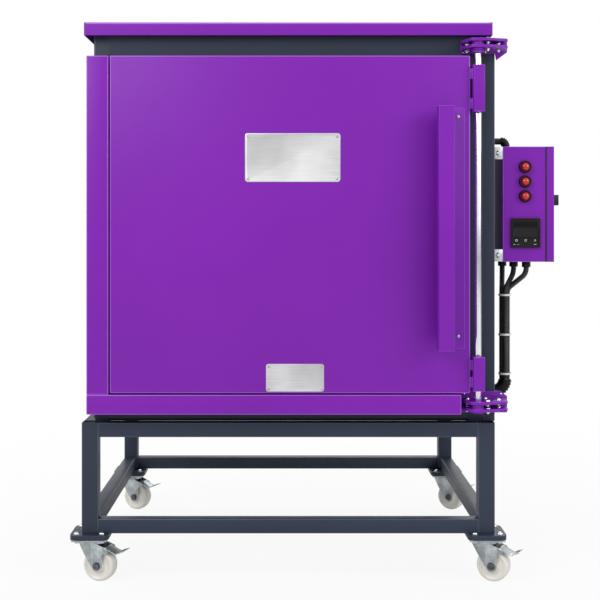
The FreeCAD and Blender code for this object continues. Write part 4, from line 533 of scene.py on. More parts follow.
# Ribbed hose: the ribs follow each conduit down or up, round its bend and into the wall
# the groove colour is painted shade in the ribs' grooves, and the lighter crest colour is painted glints on
# their crests
ribs = {"pitch": 0.0032, "bends": [(513, 480, 30, 1), (533, 1064, 12, -1)], "elbowAbove": 1.059,
        "groove": (0.004, 0.004, 0.005), "crest": (0.060, 0.060, 0.066)}


def ribTravel(tree, axes, bend):  # the distance along a run that turns a corner, from X and Z
    x, z, radius, sense = bend
    corner = at(x, 0, z)
    across = computed(tree, "SUBTRACT", axes.outputs["X"], corner.x)
    rise = computed(tree, "SUBTRACT", axes.outputs["Z"], corner.z)
    above = computed(tree, "MULTIPLY", rise, sense)
    below = computed(tree, "MAXIMUM", computed(tree, "MULTIPLY", above, -1), 0)
    angle = computed(tree, "ARCTAN2", below, computed(tree, "MAXIMUM", across, 1e-6))
    straight = computed(tree, "ADD", computed(tree, "MAXIMUM", above, 0),
                        computed(tree, "MINIMUM", across, 0))
    return computed(tree, "SUBTRACT", straight, computed(tree, "MULTIPLY", angle, radius / 1000))


hose, tree, shader = newMaterial("ribbedHose", 0, 0.34)
shader.inputs["Specular IOR Level"].default_value = 0.6
where = addNode(tree, "ShaderNodeTexCoord")
axes = addNode(tree, "ShaderNodeSeparateXYZ")
wire(tree, (where, "Object", axes, 0))
lowRun, highRun = [ribTravel(tree, axes, bend) for bend in ribs["bends"]]
isHigh = computed(tree, "GREATER_THAN", axes.outputs["Z"], ribs["elbowAbove"])
isLow = computed(tree, "SUBTRACT", 1, isHigh)
travel = computed(tree, "ADD", computed(tree, "MULTIPLY", lowRun, isLow),
                  computed(tree, "MULTIPLY", highRun, isHigh))
ribHeight = computed(tree, "SINE", computed(tree, "MULTIPLY", travel, math.tau / ribs["pitch"]))
# darker in the grooves and lighter on the crests: painted shade and painted glints
ribShadeRamp = mapRange(tree, fromLow=-1)
ribShadeAndGlint = addNode(tree, "ShaderNodeMix", data_type="RGBA",
                 slots={6: (*ribs["groove"], 1), 7: (*ribs["crest"], 1)})
ribBump = addNode(tree, "ShaderNodeBump", Strength=1.0, Distance=0.0007)
for target, socket in ((ribShadeRamp, "Value"), (ribBump, "Height")):
    tree.links.new(ribHeight, target.inputs[socket])
wire(tree, (ribShadeRamp, "Result", ribShadeAndGlint, "Factor"), (ribShadeAndGlint, 2, shader, "Base Color"),
     (ribBump, "Normal", shader, "Normal"))
surfaces["ribbedHose"] = hose


# ---- camera and light ----
photoCamera = {"spot": (-3.1, -3000, 869), "lens": 74.4, "shiftX": 0.0217, "shiftY": -0.1267}
lens = bpy.data.cameras.new("photoCamera")
lens.lens = photoCamera["lens"]
lens.sensor_width = 36
lens.shift_x = photoCamera["shiftX"]
lens.shift_y = photoCamera["shiftY"]
lens.clip_end = 50
camera = bpy.data.objects.new("photoCamera", lens)
camera.location = at(*photoCamera["spot"])
camera.rotation_euler = (math.radians(90), 0, 0)
bpy.context.scene.collection.objects.link(camera)
bpy.context.scene.camera = camera

studio = {
    "worldLight": 0.50,
    "lamps": [  # name, place in metres, aim, width, power
        ("keyLight", (-2.6, -3.6, 3.4), (0, 0, 0.8), 2.6, 105),
        ("fillLight", (3.2, -2.8, 2.2), (0, 0, 0.7), 2.4, 55),
        ("backLight", (0.5, 3.4, 3.2), (0, 0, 0.8), 2.6, 60),
        ("leftLight", (-3.8, 1.2, 1.8), (0, 0, 0.7), 2.0, 30),
    ],
    "floorColour": (0.86, 0.86, 0.86), "floorLift": 0.90, "floorSize": 60, "whiteFrom": 0.8, "whiteTo": 2.4,
}
for name, spot, aim, width, power in studio["lamps"]:
    lamp = bpy.data.lights.new(name, "AREA")
    lamp.size = width
    lamp.energy = power
    holder = bpy.data.objects.new(name, lamp)
    holder.location = spot
    holder.rotation_euler = (Vector(aim) - Vector(spot)).to_track_quat("-Z", "Y").to_euler()
    bpy.context.scene.collection.objects.link(holder)

world = bpy.data.worlds.new("studioWorld")
bpy.context.scene.world = world
world.use_nodes = True
tree = world.node_tree
tree.nodes.clear()
path = addNode(tree, "ShaderNodeLightPath")
seen = mathNode(tree, "MAXIMUM")
through = mathNode(tree, "MAXIMUM")
level = mapRange(tree, toLow=studio["worldLight"])
sky = addNode(tree, "ShaderNodeBackground", Color=(1, 1, 1, 1))
out = addNode(tree, "ShaderNodeOutputWorld")
wire(tree, (path, "Is Camera Ray", seen, 0), (path, "Is Glossy Ray", seen, 1), (seen, 0, through, 0),
     (path, "Is Transmission Ray", through, 1), (through, 0, level, "Value"),
     (level, "Result", sky, "Strength"), (sky, 0, out, "Surface"))
bpy.context.scene.view_settings.view_transform = "Standard"

deselectAll()
bpy.ops.mesh.primitive_plane_add(size=studio["floorSize"], location=(0, 0, 0))
floor = bpy.context.object
floor.name = "studioFloor"
floorFinish, tree, shader = newMaterial("floorPaint", 0, 0.9)
shader.inputs["Base Color"].default_value = (*studio["floorColour"], 1)
shader.inputs["Specular IOR Level"].default_value = 0.0
path = addNode(tree, "ShaderNodeLightPath")
spot = addNode(tree, "ShaderNodeTexCoord")
away = addNode(tree, "ShaderNodeVectorMath", operation="LENGTH")
fade = mapRange(tree, studio["whiteFrom"], studio["whiteTo"], studio["floorLift"])
lift = mathNode(tree, "MULTIPLY")
white = addNode(tree, "ShaderNodeEmission", Color=(1, 1, 1, 1), Strength=1.0)
blend = addNode(tree, "ShaderNodeMixShader")
wire(tree, (spot, "Object", away, 0), (away, "Value", fade, "Value"), (fade, "Result", lift, 1),
     (path, "Is Camera Ray", lift, 0), (lift, 0, blend, 0), (shader, 0, blend, 1), (white, 0, blend, 2),
     (blend, 0, tree.nodes["Material Output"], "Surface"))
floor.data.materials.append(floorFinish)
floor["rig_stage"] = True


# ---- CAD nodes with softened edges ----
# A copy of the node is merged, its sharp edges are rounded, and it stands for the node
def looseParts(piece):
    editAll(piece)
    bpy.ops.mesh.separate(type="LOOSE")
    leaveEdit()
    return [part for part in bpy.context.selected_objects if part.type == "MESH"]


def merged(node):
    piece = copyOf(frame["nodes"][node])
    piece.parent = None
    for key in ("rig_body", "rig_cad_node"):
        if key in piece:
            del piece[key]
    editAll(piece)
    bpy.ops.mesh.remove_doubles(threshold=nearness["cadSeam"])
    bpy.ops.mesh.dissolve_limited(angle_limit=flatAngle)
    leaveEdit()
    return piece


def outerEdge(part, openSide):  # true for the edges on two outer faces of the part's box
    low, high = [[limit(v.co[i] for v in part.data.vertices) for i in range(3)] for limit in (min, max)]

    def test(edge):
        ends = [v.co for v in edge.verts]
        faces = set()
        for i, letter in enumerate("XYZ"):
            for sign, side in (("-", low), ("+", high)):
                if all(abs(end[i] - side[i]) < nearness["onBox"] for end in ends):
                    faces.add(sign + letter)
        return len(faces) > 1 and openSide not in faces

    return test


# each coat's lighter copy for its rounded edges: a painted highlight where the edges catch the light
edgeHighlightFinish = {"purpleCoat": "purpleEdgeHighlight", "slateCoat": "slateEdgeHighlight", "zinc": "zincEdgeHighlight"}


def lined(piece, material):  # the finish and, for the rounded edges, a lighter copy of it: a painted highlight along the edges
    if material not in edgeHighlightFinish:
        coatedIn(piece, material)
        return -1
    coatedIn(piece, material, edgeHighlightFinish[material])
    return 1


def softNode(node, material, width, openSide=None, folded=False, segments=3):
    piece = merged(node)
    highlightSlot = lined(piece, material)
    if folded:
        parts = looseParts(piece)
        for part in parts:
            pick(part, "edges", outerEdge(part, openSide))
            bpy.ops.mesh.bevel(offset=width / 1000, segments=segments, affect="EDGES", material=highlightSlot)
            leaveEdit()
        piece = joined(parts, node + "_dressed")
    else:
        rounded(piece, width, segments, highlightSlot=highlightSlot)
    finished(piece, node + "_dressed", None, nodeBodies[node])
    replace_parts(piece, node)
    return piece


print("rounding the folded and welded steelwork")
foldedNodes = {  # node: finish, edge radius in millimetres, open side
    "stand_corner_posts": ("slateCoat", 1.8, "+Z"),
    "stand_top_rails": ("slateCoat", 1.8, None),
    "stand_bottom_rails": ("slateCoat", 1.8, None),
    "hinge_column": ("slateCoat", 1.8, "+Z"),
    "body_frame": ("slateCoat", 1.8, None),
    "side_panels": ("slateCoat", 0.6, None),
    "top_cover": ("purpleCoat", 4.0, "-Z"),
    "latch_side_trim": ("purpleCoat", 2.4, "+Y"),
    "sill_trim": ("purpleCoat", 2.0, "+Y"),
    "door_shell": ("purpleCoat", 2.4, "+Y"),
    "terminal_cover": ("slateCoat", 1.8, "-Y"),
    "control_box_body": ("purpleCoat", 1.6, "+X"),
    "door_gasket": ("ropeBraid", 2.6, None),
}
for node, (material, width, openSide) in foldedNodes.items():
    softNode(node, material, width, openSide, folded=True)

weldedNodes = {
    "caster_mounting_plates": ("slateCoat", 1.2),
    "caster_top_plates": ("zinc", 0.8),
    "hinge_blocks": ("purpleCoat", 2.4),
    "upper_hinge_bracket": ("purpleCoat", 1.0),
    "lower_hinge_bracket": ("purpleCoat", 1.0),
    "hinge_rod": ("chrome", 1.2),
    "door_handle": ("purpleCoat", 0.7),
    "control_box_door": ("purpleCoat", 1.6),
    "control_box_brackets": ("spangleZinc", 0.5),
    "control_box_lock": ("lockPlastic", 1.2),
    "control_box_hinges": ("zinc", 0.3),
    "cable_glands": ("blackPlastic", 0.5),
    "cable_ties": ("tieNylon", 0.4),
    "temperature_controller": ("blackPlastic", 0.8),
    "signal_lamp_bezels": ("blackPlastic", 0.8),
    "controller_key_left": ("keyRubber", 0.7),
    "controller_key_middle": ("keyRubber", 0.7),
    "controller_key_right": ("keyRubber", 0.7),
    "vent_plug": ("kilnShelf", 1.5),
    "hearth_plate": ("kilnWash", 2.0),
    "thermocouple": ("darkSteel", 1.0),
}
for node, (material, width) in weldedNodes.items():
    softNode(node, material, width, segments=2)

plainNodes = {
    "front_frame": "slateCoat", "rear_panel": "slateCoat", "floor_pan": "zinc", "lining_walls": "brickFace",
    "lining_roof": "brickFace", "lining_floor": "brickFace", "backing_insulation": "fibreBoard",
    "door_lining": "brickFace", "heating_elements": "elementCoil", "control_gear": "creamPlastic",
    "conduits": "ribbedHose",
}
for node, material in plainNodes.items():
    coatedIn(frame["nodes"][node], material)


# ---- casters ----
print("making the casters")
corners = {"front_left": (-480, 33, 16), "front_right": (480, 33, 25),
           "rear_left": (-480, 797, 22), "rear_right": (480, 797, 32)}
wheelSizes = {
    "trail": 23, "axleHeight": 40,
    "halfProfile": [(5.05, 21.5), (12.5, 21.5), (13.6, 20.6), (14.2, 16.4), (16, 15.4), (28, 15.4),
                    (30.5, 16.4), (32, 17.5), (34.5, 17.3), (36.8, 16), (38.6, 13), (39.6, 8.5), (40, 3)],
}
forkSizes = {
    "headRadius": 31, "headTop": 99.7, "headBottom": 92, "halfSpace": 22, "sheet": 2.5, "bow": 0.0085,
    "flatFrom": 10,
    "cheek": [(-33, 97), (9, 38), (12, 31), (17, 27), (23, 25.5), (29, 27), (34, 31), (37, 38), (37, 66),
              (39, 69), (45, 71.5), (50, 73), (52, 77), (50, 83), (44, 85), (11, 97)],
    "cuts": (11, 10, 9, 4, -2, -8, -14, -20, -26), "bends": (10, 4, -2, -8, -14, -20, -26, -33),
    "crease": 0.7,
    "pedalPinX": 42, "pedalPinZ": 81.5, "bore": 6.05, "rivet": [(0, 1.8), (2.2, 1.4), (3.4, 0), (0, 0)],
}
axleBolt = {
    "washer": [(5, 0), (9.6, 0), (9.6, 0.9), (9.2, 1.3), (5, 1.3), (5, 0)],
    "nut": [(4, 1.2), (8.2, 1.2), (8.2, 4.6), (7.2, 5.4), (4, 5.4), (4, 1.2)],
    "end": [(0, 6.4), (3.4, 6.1), (4.2, 5.2), (4.2, 1.2), (0, 1.2)],
}
lockDisc = {"teeth": 20, "outer": 24.5, "inner": 22.4, "sheet": 2, "spot": (14, 0, 88), "tilt": 11}
pedalSizes = {
    "halfWidth": 20, "ribRows": (-12, 0, 12), "ribSpot": (81, 75.5), "ribTilt": -22, "ribLong": 3.6,
    "slotRows": (-10, 0, 10), "slotSpot": (83.5, 77.1), "slotTilt": -21, "slotSize": (9, 4.4, 0.5),
    "profile": [(44, 80.5), (58, 74.6), (70, 68.6), (79, 72.4), (90, 76.8), (91.5, 79.4), (88, 78.6),
                (70, 71.4), (57, 77.4), (46, 84.4), (42, 85.4), (38.8, 83.4), (38.5, 81.2), (41, 78.2)],
}


def standingAt(piece, corner):
    x, y, yaw = corners[corner]
    piece.matrix_world = Matrix.Translation(at(x, y, 0)) @ Matrix.Rotation(math.radians(-yaw), 4, "Z")
    applyPlace(piece)
    return piece


def local(x, y, z):
    return Vector((x, y, z)) / 1000


def wheelShape():
    half = wheelSizes["halfProfile"]
    profile = half + [(r, -y) for r, y in reversed(half)]
    wheel = turned(profile + profile[:1], steps=56)
    return placed(wheel, local(wheelSizes["trail"], 0, wheelSizes["axleHeight"]), "-Y")


def cheekShape(side):  # one side of the fork: flat at the axle, bowed inwards to the front
    cheek = line([(x, 0, z) for x, z in forkSizes["cheek"]])
    editAll(cheek)
    bpy.ops.mesh.edge_face_add()
    for x in forkSizes["cuts"]:
        bpy.ops.mesh.select_all(action="SELECT")
        bpy.ops.mesh.bisect(plane_co=local(x, 0, 0), plane_no=(1, 0, 0))
    for level in forkSizes["bends"]:
        pick(cheek, "verts", lambda vert: abs(vert.co.x * 1000 - level) < nearness["cut"])
        inward = forkSizes["bow"] * (forkSizes["flatFrom"] - level) ** 2
        if level == forkSizes["flatFrom"]:
            inward -= forkSizes["crease"]
        bpy.ops.transform.translate(value=(0, -side * inward / 1000, 0))
    leaveEdit()
    cheek.location = local(0, side * (forkSizes["halfSpace"] + forkSizes["sheet"] / 2), 0)
    applyPlace(cheek)
    wall = cheek.modifiers.new("sheet", "SOLIDIFY")
    wall.thickness = forkSizes["sheet"] / 1000
    wall.offset = 0
    bpy.ops.object.modifier_apply(modifier=wall.name)
    cleaned(cheek)
    return rounded(cheek, 0.75, 2, 50, lined(cheek, "zinc"))


def forkShape():
    sizes = forkSizes
    radius, top, bottom, bore = sizes["headRadius"], sizes["headTop"], sizes["headBottom"], sizes["bore"]
    head = turned([(0, top), (radius - 3, top), (radius - 0.8, top - 1), (radius, top - 3.4),
                   (radius, bottom), (radius - 2.5, bottom), (bore, bottom), (bore, top - 0.5),
                   (0, top - 0.5)])
    parts = [head, cheekShape(1), cheekShape(-1)]
    outside = sizes["halfSpace"] + sizes["sheet"]
    for side, axis in ((1, "+Y"), (-1, "-Y")):
        rivet = turned(sizes["rivet"], steps=20)
        parts.append(placed(rivet, local(sizes["pedalPinX"], side * outside, sizes["pedalPinZ"]), axis))
    bars = ((wheelSizes["trail"], wheelSizes["axleHeight"], 5), (sizes["pedalPinX"], sizes["pedalPinZ"], 2))
    for x, z, thick in bars:
        bar = turned([(0, -outside), (thick, -outside), (thick, outside), (0, outside)], steps=24)
        parts.append(placed(bar, local(x, 0, z), "+Y"))
    for part in parts:
        if not part.data.materials:
            lined(part, "zinc")
    return joined(parts, "forkShape")


def axleBoltShape():  # a washer, a hexagon and the bolt's end on each side of the fork
    parts = []
    for side, axis in ((1, "+Y"), (-1, "-Y")):
        washer = turned(axleBolt["washer"], steps=32)
        nut = turned(axleBolt["nut"], steps=6)
        end = turned(axleBolt["end"], steps=24)
        for piece in (washer, rounded(nut, 0.4, 2), end):
            y = side * (forkSizes["halfSpace"] + forkSizes["sheet"])
            parts.append(placed(piece, local(wheelSizes["trail"], y, wheelSizes["axleHeight"]), axis))
    return joined(parts, "axleBoltShape")


def tilted(piece, spot, degrees):
    piece.matrix_world = Matrix.Translation(local(*spot)) @ Matrix.Rotation(math.radians(degrees), 4, "Y")
    applyPlace(piece)
    return piece


def lockDiscShape():  # the toothed disc of the swivel lock, seen behind the fork
    outer, inner = lockDisc["outer"], lockDisc["inner"]
    rim = []
    for i in range(lockDisc["teeth"]):
        for turn, radius in ((0, inner), (0.28, inner), (0.42, outer), (0.86, outer)):
            angle = math.tau * (i + turn) / lockDisc["teeth"]
            rim.append((radius * math.cos(angle), radius * math.sin(angle)))
    disc = plate(rim + rim[:1], lockDisc["sheet"])
    return rounded(tilted(disc, lockDisc["spot"], lockDisc["tilt"]), 0.3, 1)


def pedalShape():
    tread = line([(x, 0, z) for x, z in pedalSizes["profile"]])
    editAll(tread)
    bpy.ops.mesh.edge_face_add()
    half = pedalSizes["halfWidth"]
    bpy.ops.transform.translate(value=local(0, -half, 0))
    bpy.ops.mesh.extrude_region_move(TRANSFORM_OT_translate={"value": local(0, 2 * half, 0)})
    leaveEdit()
    cleaned(tread)
    rounded(tread, 0.6, 2, highlightSlot=lined(tread, "zinc"))
    ribs = []
    x, z = pedalSizes["ribSpot"]
    for y in pedalSizes["ribRows"]:
        rib = turned([(0, 1.4), (1.2, 1.1), (1.9, 0), (0, 0)], steps=14)
        rib.scale = (pedalSizes["ribLong"], 1, 1)
        applyPlace(rib)
        lined(tilted(rib, (x, y, z), pedalSizes["ribTilt"]), "zinc")
        ribs.append(rib)
    return joined([tread] + ribs, "pedalShape")


def pedalSlotShadeShape():  # dark sheets in the slots pressed into the pedal's lip: painted shade inside the slots
    slots = []
    half = [side / 2 for side in pedalSizes["slotSize"]]
    x, z = pedalSizes["slotSpot"]
    for y in pedalSizes["slotRows"]:
        slot = block([-side for side in half], half)
        slot.data.transform(Matrix.Translation(-at(0, 0, 0)))  # from the stand's frame to the caster's
        slots.append(rounded(tilted(slot, (x, y, z), pedalSizes["slotTilt"]), 0.2, 2))
    return joined(slots, "pedalSlotShadeShape")


masters = {"wheel": wheelShape(), "fork": forkShape(), "disc": lockDiscShape(), "pedal": pedalShape(),
           "axle_bolt": axleBoltShape(), "pedal_slot_shade": pedalSlotShadeShape()}
casterPieces = {  # the node it stands for, its body and its finish
    "wheel": ("caster_wheel_", "wheel_", "wheelNylon"), "fork": ("caster_fork_", "swivel_fork_", None),
    "disc": (None, "swivel_fork_", "darkSteel"), "axle_bolt": (None, "swivel_fork_", "darkSteel"),
    # the pedal's slot sheets are black: painted shade inside the slots
    "pedal": ("brake_pedal_", "pedal_", None), "pedal_slot_shade": (None, "pedal_", "blackPlastic"),
}
for corner in corners:
    for kind, (node, body, material) in casterPieces.items():
        copy = standingAt(copyOf(masters[kind]), corner)
        finished(copy, kind + "_" + corner, material, body + corner)
        if node:
            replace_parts(copy, node + corner)
for master in masters.values():
    discard(master)


# ---- bolts and screws ----
print("fitting bolts and screws")


def hexShape(radius, height):
    deselectAll()
    bpy.ops.mesh.primitive_cylinder_add(vertices=6, radius=radius / 1000, depth=height / 1000,
                                        location=(0, 0, height / 2000))
    piece = bpy.context.object
    applyPlace(piece)
    return rounded(piece, 0.5, 2)


def domeShape(radius, height):
    return turned([(0, height), (radius * 0.45, height * 0.94), (radius * 0.78, height * 0.70),
                   (radius * 0.96, height * 0.34), (radius, 0), (0, 0)], steps=24)


def screwShape(radius, height):  # a low domed head with a cross recess
    head = domeShape(radius, height)
    arms = []
    for turn in (0, 90):
        deselectAll()
        bpy.ops.mesh.primitive_cube_add(size=1, location=(0, 0, height / 1000),
                                        scale=local(radius * 1.1, radius * 0.22, height * 0.9))
        arms.append(spun(bpy.context.object, turn))
    for arm in arms:
        makeActive(head)
        cutter = head.modifiers.new("recess", "BOOLEAN")
        cutter.operation = "DIFFERENCE"
        cutter.object = arm
        bpy.ops.object.modifier_apply(modifier=cutter.name)
        discard(arm)
    return head


def screwSet(name, spots, axis, body="kiln", size=(4, 2), material="zinc"):
    return repeated(screwShape(*size), spots, name, material, body, axis)


def bolted(name, node, sets):  # sets of master, spots and axis, which together stand for the node
    parts = [copiesAt(master, spots, name + "Part", axis) for master, spots, axis in sets]
    for master, spots, axis in sets:
        discard(master)
    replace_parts(finished(joined(parts, name), name, "brightSteel"), node)


plateBolts = {
    "wide": 30, "deep": 40, "top": 120, "under": 104, "washerHeight": 1.4, "dome": (7, 4.6), "nut": (6.5, 5),
    "washer": [(4.2, 0), (8.4, 0), (8.4, 1.2), (7.9, 1.5), (4.2, 1.5), (4.2, 0)],
}
wide, deep, top = plateBolts["wide"], plateBolts["deep"], plateBolts["top"]
spots = [(x + dx, y + dy) for x, y, yaw in corners.values() for dx in (-wide, wide) for dy in (-deep, deep)]
bolted("caster_bolts", "caster_plate_bolts", [
    (turned(plateBolts["washer"], steps=28), [at(x, y, top) for x, y in spots], "+Z"),
    (domeShape(*plateBolts["dome"]), [at(x, y, top + plateBolts["washerHeight"]) for x, y in spots], "+Z"),
    (hexShape(*plateBolts["nut"]), [at(x, y, plateBolts["under"]) for x, y in spots], "-Z"),
])

bracketBolts = {
    "places": [(432, -2), (476.5, -40), (505, -18), (477, 6)], "plateTops": [1311, 1295, 446, 428.5],
    "plate": 6, "dome": (6.2, 4.4), "nut": (5.8, 3.8), "shankDrop": 13,
    "shank": [(0, 0), (3, 0), (3, 30), (2.4, 30.6), (0, 30.6)],
}


def bracketSpots(tops, drop=0):
    return [at(x, y, top - drop) for top in tops for x, y in bracketBolts["places"]]


tops = bracketBolts["plateTops"]
bolted("bracket_bolts", "hinge_bracket_bolts", [
    (domeShape(*bracketBolts["dome"]), bracketSpots(tops), "+Z"),
    (hexShape(*bracketBolts["nut"]), bracketSpots(tops, bracketBolts["plate"]), "-Z"),
    (turned(bracketBolts["shank"], steps=16), bracketSpots(tops[1::2], bracketBolts["shankDrop"]), "+Z"),
])


# ---- bare plates on the door ----
print("adding the door's plates")
doorFront, plateThickness = -49, 1.4
plateGroove = (3.2, 0.6, 0.5)  # from the edge, width and depth
doorPlates = {
    "upper_door_plate": {"x": (-103, 124), "z": (969, 1085), "radius": 7, "inset": 8, "screw": (3.4, 1.8)},
    "lower_door_plate": {"x": (-53, 85), "z": (470, 536), "radius": 6, "inset": 6.5, "screw": (2.8, 1.8)},
}
for name, size in doorPlates.items():
    (left, right), (low, high), inset = size["x"], size["z"], size["inset"]
    front = doorFront - plateThickness
    sheet = roundedSheet((left, front, low), (right, doorFront, high), (0, 2), size["radius"])
    framed(sheet, *plateGroove)
    finished(rounded(sheet, 0.25, 2), name, "brushedSteel", "door")
    spots = [at(x, front, z) for x in (left + inset, right - inset) for z in (low + inset, high - inset)]
    screwSet(name + "_screws", spots, "-Y", "door", size["screw"])

handleScrews = {"x": 404, "front": -52, "levels": (602, 1124), "size": (4.2, 2.2)}
spots = [at(handleScrews["x"], handleScrews["front"], z) for z in handleScrews["levels"]]
screwSet("handle_screws", spots, "-Y", "door", handleScrews["size"])


# ---- lamps and controller ----
print("dressing the control box")
lamps = {
    "x": 580, "front": 40, "levels": (937, 973, 1009),
    "ring": [(10.6, 1), (10.6, 11), (11.4, 12.2), (13.4, 12.2), (14.6, 10.6), (15.2, 7), (15.2, 0.2), (12, 0),
             (10.6, 1)],
    "lens": [(0, 17), (3.2, 16.7), (6.2, 15.6), (8.6, 13.6), (10, 11), (10.4, 8), (10.4, 2), (0, 2)],
}
lampSpots = [at(lamps["x"], lamps["front"], z) for z in lamps["levels"]]
repeated(turned(lamps["ring"], steps=40), lampSpots, "lamp_rings", "blackPlastic", axis="-Y")
lensGlass, tree, shader = newMaterial("redLens", 0, 0.12)
shader.inputs["Coat Weight"].default_value = 0.6
shader.inputs["Coat Roughness"].default_value = 0.08
facets = addNode(tree, "ShaderNodeTexVoronoi", Scale=520)
where = addNode(tree, "ShaderNodeTexCoord")
tone = toneRamp(tree, (0.52, 0.004, 0.010), (0.47, 0.004, 0.008))
relief = addNode(tree, "ShaderNodeBump", Strength=0.03, Distance=0.0004)
wire(tree, (where, "Object", facets, "Vector"), (facets, "Distance", tone, "Fac"),
     (tone, "Color", shader, "Base Color"), (facets, "Distance", relief, "Height"),
     (relief, "Normal", shader, "Normal"))
surfaces["redLens"] = lensGlass
lenses = repeated(turned(lamps["lens"], steps=40), lampSpots, "lamp_lenses", "redLens", axis="-Y")
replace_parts(lenses, "signal_lamp_lenses")

# The controller's frame, glass and marks
panel = {"x": 580.7, "z": 847, "front": 34, "half": 36, "frame": 3.4, "frameHeight": 1.3,
         "glass": (549, 612.4, 837, 879), "glassGroove": (2.2, 0.4, 0.5), "keyLevel": 829,
         "lines": ((553.5, 819, 5), (563, 819, 3), (604, 819, 6)), "lineHalf": 0.4, "lineProud": 0.3}
keyMarks = {  # shift from the middle, corners, radius and turn: a ring, a square and a triangle
    "left": (-22.5, 28, 2.7, 90), "middle": (0, 4, 3.3, 45), "right": (22.5, 3, 3.3, 90),
}
markSizes = {"line": 0.9, "height": 0.14, "proud": 0.04}
inner, outer = [half * math.sqrt(2) for half in (panel["half"] - panel["frame"], panel["half"])]
rim = rounded(ringShape(inner, outer, panel["frameHeight"], 4, 45), 0.6, 3)
placed(rim, at(panel["x"], panel["front"], panel["z"]), "-Y")
finished(rim, "controller_frame", "blackPlastic")
left, right, low, high = panel["glass"]
glass = block((left, panel["front"] - 0.9, low), (right, panel["front"] + 0.2, high))
framed(glass, *panel["glassGroove"])
finished(rounded(glass, 0.2, 2), "controller_glass", "displayGlass")
marks = []
half, front = panel["lineHalf"], panel["front"]
for x, z, width in panel["lines"]:
    mark = block((x - width / 2, front - panel["lineProud"], z - half), (x + width / 2, front, z + half))
    marks.append(rounded(mark, 0.1, 1))
finished(joined(marks, "controller_marks"), "controller_marks", "whiteMark")
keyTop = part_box("controller_key_middle")[0][1] * 1000 + middle["y"]
for side, (shift, cornerCount, radius, turn) in keyMarks.items():
    mark = ringShape(radius - markSizes["line"], radius, markSizes["height"], cornerCount, turn)
    placed(mark, at(panel["x"] + shift, keyTop + markSizes["proud"], panel["keyLevel"]), "-Y")
    finished(mark, "key_mark_" + side, "whiteMark", "controller_key_" + side)


# ---- screws on the sheet metal ----
print("fastening the panels")


def spaced(low, high, count):
    return [low + (high - low) * i / (count - 1) for i in range(count)]


panelScrews = {"rearPlane": 806, "rearX": (-454, 454), "rearZ": (440, 1310), "sidePlane": 474,
               "sideY": (60, 770), "sideLevel": 418}
screwSet("rear_panel_screws", [at(x, panelScrews["rearPlane"], z) for x in panelScrews["rearX"]
                               for z in spaced(*panelScrews["rearZ"], 5)], "+Y")
for side, sense, axis in (("left", -1, "-X"), ("right", 1, "+X")):
    screwSet("side_panel_screws_" + side, [at(sense * panelScrews["sidePlane"], y, panelScrews["sideLevel"])
                                           for y in spaced(*panelScrews["sideY"], 4)], axis)

# a black sheet on each box bracket's slot: painted shade inside the slot, with a screw sitting on it
boxSlots = {"x": 513.5, "halfWidth": 2, "halfHeight": 6.5, "radius": 1.9, "levels": (792, 1043),
            "proud": 0.15, "sunk": 0.1, "screwProud": 0.1, "screw": (3.4, 2.2)}
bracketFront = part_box("control_box_brackets")[0][1] * 1000 + middle["y"]
x, front, back = boxSlots["x"], bracketFront - boxSlots["proud"], bracketFront + boxSlots["sunk"]
width, height = boxSlots["halfWidth"], boxSlots["halfHeight"]
slots = [roundedSheet((x - width, front, z - height), (x + width, back, z + height), (0, 2),
                      boxSlots["radius"]) for z in boxSlots["levels"]]
finished(joined(slots, "box_bracket_slot_shadows"), "box_bracket_slot_shadows", "blackPlastic")
spots = [at(x, bracketFront - boxSlots["screwProud"], z) for z in boxSlots["levels"]]
screwSet("box_bracket_screws", spots, "-Y", size=boxSlots["screw"], material="brightSteel")

backPlates = {"y": 20, "upper": [(426.5, 1286.5), (481, 1286.5)], "lower": [(428, 455), (517, 455)],
              "upperSize": (2.2, 1.4), "lowerSize": (3, 2)}
for level in ("upper", "lower"):
    screwSet(level + "_bracket_screws", [at(x, backPlates["y"], z) for x, z in backPlates[level]], "-Y",
             size=backPlates[level + "Size"], material="brightSteel")

collars = {"x": 452.5, "y": -42, "levels": (1283.5, 1277.8, 417.5),
           "profile": [(8.3, 0), (13.4, 0), (14, 0.6), (14, 4.4), (13.4, 5), (8.3, 5), (8.3, 0)]}
spots = [at(collars["x"], collars["y"], z) for z in collars["levels"]]
repeated(turned(collars["profile"], steps=40), spots, "rod_collars", "purpleCoat")


# ---- dark sheets and strips on the stand, painted shade, and the hoses' ribs ----
print("adding strips and ribs")
# black sheets over the slots in the stand's top at the corner posts: painted shade inside the slots
stand = {"top": 388, "slotX": (-480.5, 480.5), "slotY": (44, 82), "slotHalf": 3.2, "proud": 0.3, "radius": 3}
(front, back), half, top = stand["slotY"], stand["slotHalf"], stand["top"]
slots = [roundedSheet((x - half, front, top), (x + half, back, top + stand["proud"]), (0, 1), stand["radius"])
         for x in stand["slotX"]]
finished(joined(slots, "stand_slot_shadows"), "stand_slot_shadows", "blackPlastic")

# dark bars closing the gap between the stand's top and the body's bottom: painted shade in the gap, given a
# rubber finish
strips = {"low": 388, "high": 394.9, "x": (-466, 466), "y": (33, 797), "width": 13}
(left, right), (front, back), width = strips["x"], strips["y"], strips["width"]
bars = [block((left, y, strips["low"]), (right, y + width, strips["high"])) for y in (front, back - width)]
bars += [block((x, front + width, strips["low"]), (x + width, back - width, strips["high"]))
         for x in (left, right - width)]
bars = [rounded(bar, 1.2, 2) for bar in bars]
finished(joined(bars, "body_gap_shade_strips"), "body_gap_shade_strips", "keyRubber")

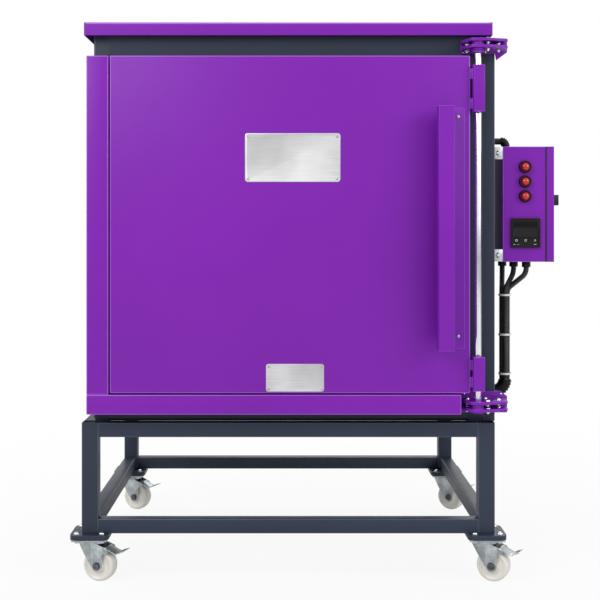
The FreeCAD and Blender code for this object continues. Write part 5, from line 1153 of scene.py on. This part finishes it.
drops = {"x": 543, "y": 110, "spread": 7.679, "turns": (-30, 90, 210), "low": 484, "high": 694, "pitch": 3.2,
         "foot": 6.3, "crest": 7.05}
foot, crest = drops["foot"], drops["crest"]
rib = turned([(foot, 0), (crest, 0.5), (crest, 1.3), (foot, 1.8), (foot, 0)], steps=16)
levels = spaced(drops["low"], drops["high"], round((drops["high"] - drops["low"]) / drops["pitch"]))
spots = []
for turn in drops["turns"]:
    x = drops["x"] + drops["spread"] * math.cos(math.radians(turn))
    y = drops["y"] - drops["spread"] * math.sin(math.radians(turn))
    spots += [at(x, y, z) for z in levels]
repeated(rib, spots, "hose_ribs", "ribbedHose")


def bootShape(radius, reach, ribCount, ribProud):  # a ribbed quarter bend round the Y axis
    parts = []
    spans = [(radius, 0, 90, 20)]
    for i in range(ribCount):
        start = (i + 0.35) * 90 / ribCount
        spans.append((radius + ribProud, start, 45 / ribCount, 2))
    for size, start, sweep, steps in spans:
        deselectAll()
        bpy.ops.mesh.primitive_circle_add(vertices=28, radius=size / 1000, fill_type="NGON",
                                          location=(reach / 1000, 0, 0))
        piece = bpy.context.object
        applyPlace(piece)
        editAll(piece)
        bpy.ops.mesh.spin(steps=steps, angle=math.radians(-sweep), center=(0, 0, 0), axis=(0, 1, 0))
        leaveEdit()
        parts.append(rounded(cleaned(spun(piece, start, "Y")), 0.4, 2, 50))
    return joined(parts, "bootShape")


boots = {
    "lower_boot": {"radius": 15.2, "reach": 30, "ribs": 9, "proud": 1.5, "spot": (513, 110, 480), "turn": 0},
    "upper_boot": {"radius": 9.6, "reach": 12, "ribs": 6, "proud": 1, "spot": (533, 110, 1064), "turn": -90},
}
for name, size in boots.items():
    boot = bootShape(size["radius"], size["reach"], size["ribs"], size["proud"])
    placed(spun(boot, size["turn"], "Y"), at(*size["spot"]))
    finished(boot, name, "blackPlastic")

# a dark strip over the box door's seam and a web down into its gap, shaped like a rubber seal: painted shade
# of the seam
seamShade = {"lipX": (630.2, 633.9), "lipY": (39.3, 39.9), "webX": (632.15, 632.85), "webY": (39.7, 41.5),
        "z": (777, 1058)}
(low, high), parts = seamShade["z"], []
for xs, ys in (("lipX", "lipY"), ("webX", "webY")):
    bar = block((seamShade[xs][0], seamShade[ys][0], low), (seamShade[xs][1], seamShade[ys][1], high))
    parts.append(rounded(bar, 0.2, 2))
finished(joined(parts, "box_door_seam_shade"), "box_door_seam_shade", "keyRubber")

size = {"cad": [list(corner) for corner in cadBox], "scene": [list(corner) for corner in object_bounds()]}
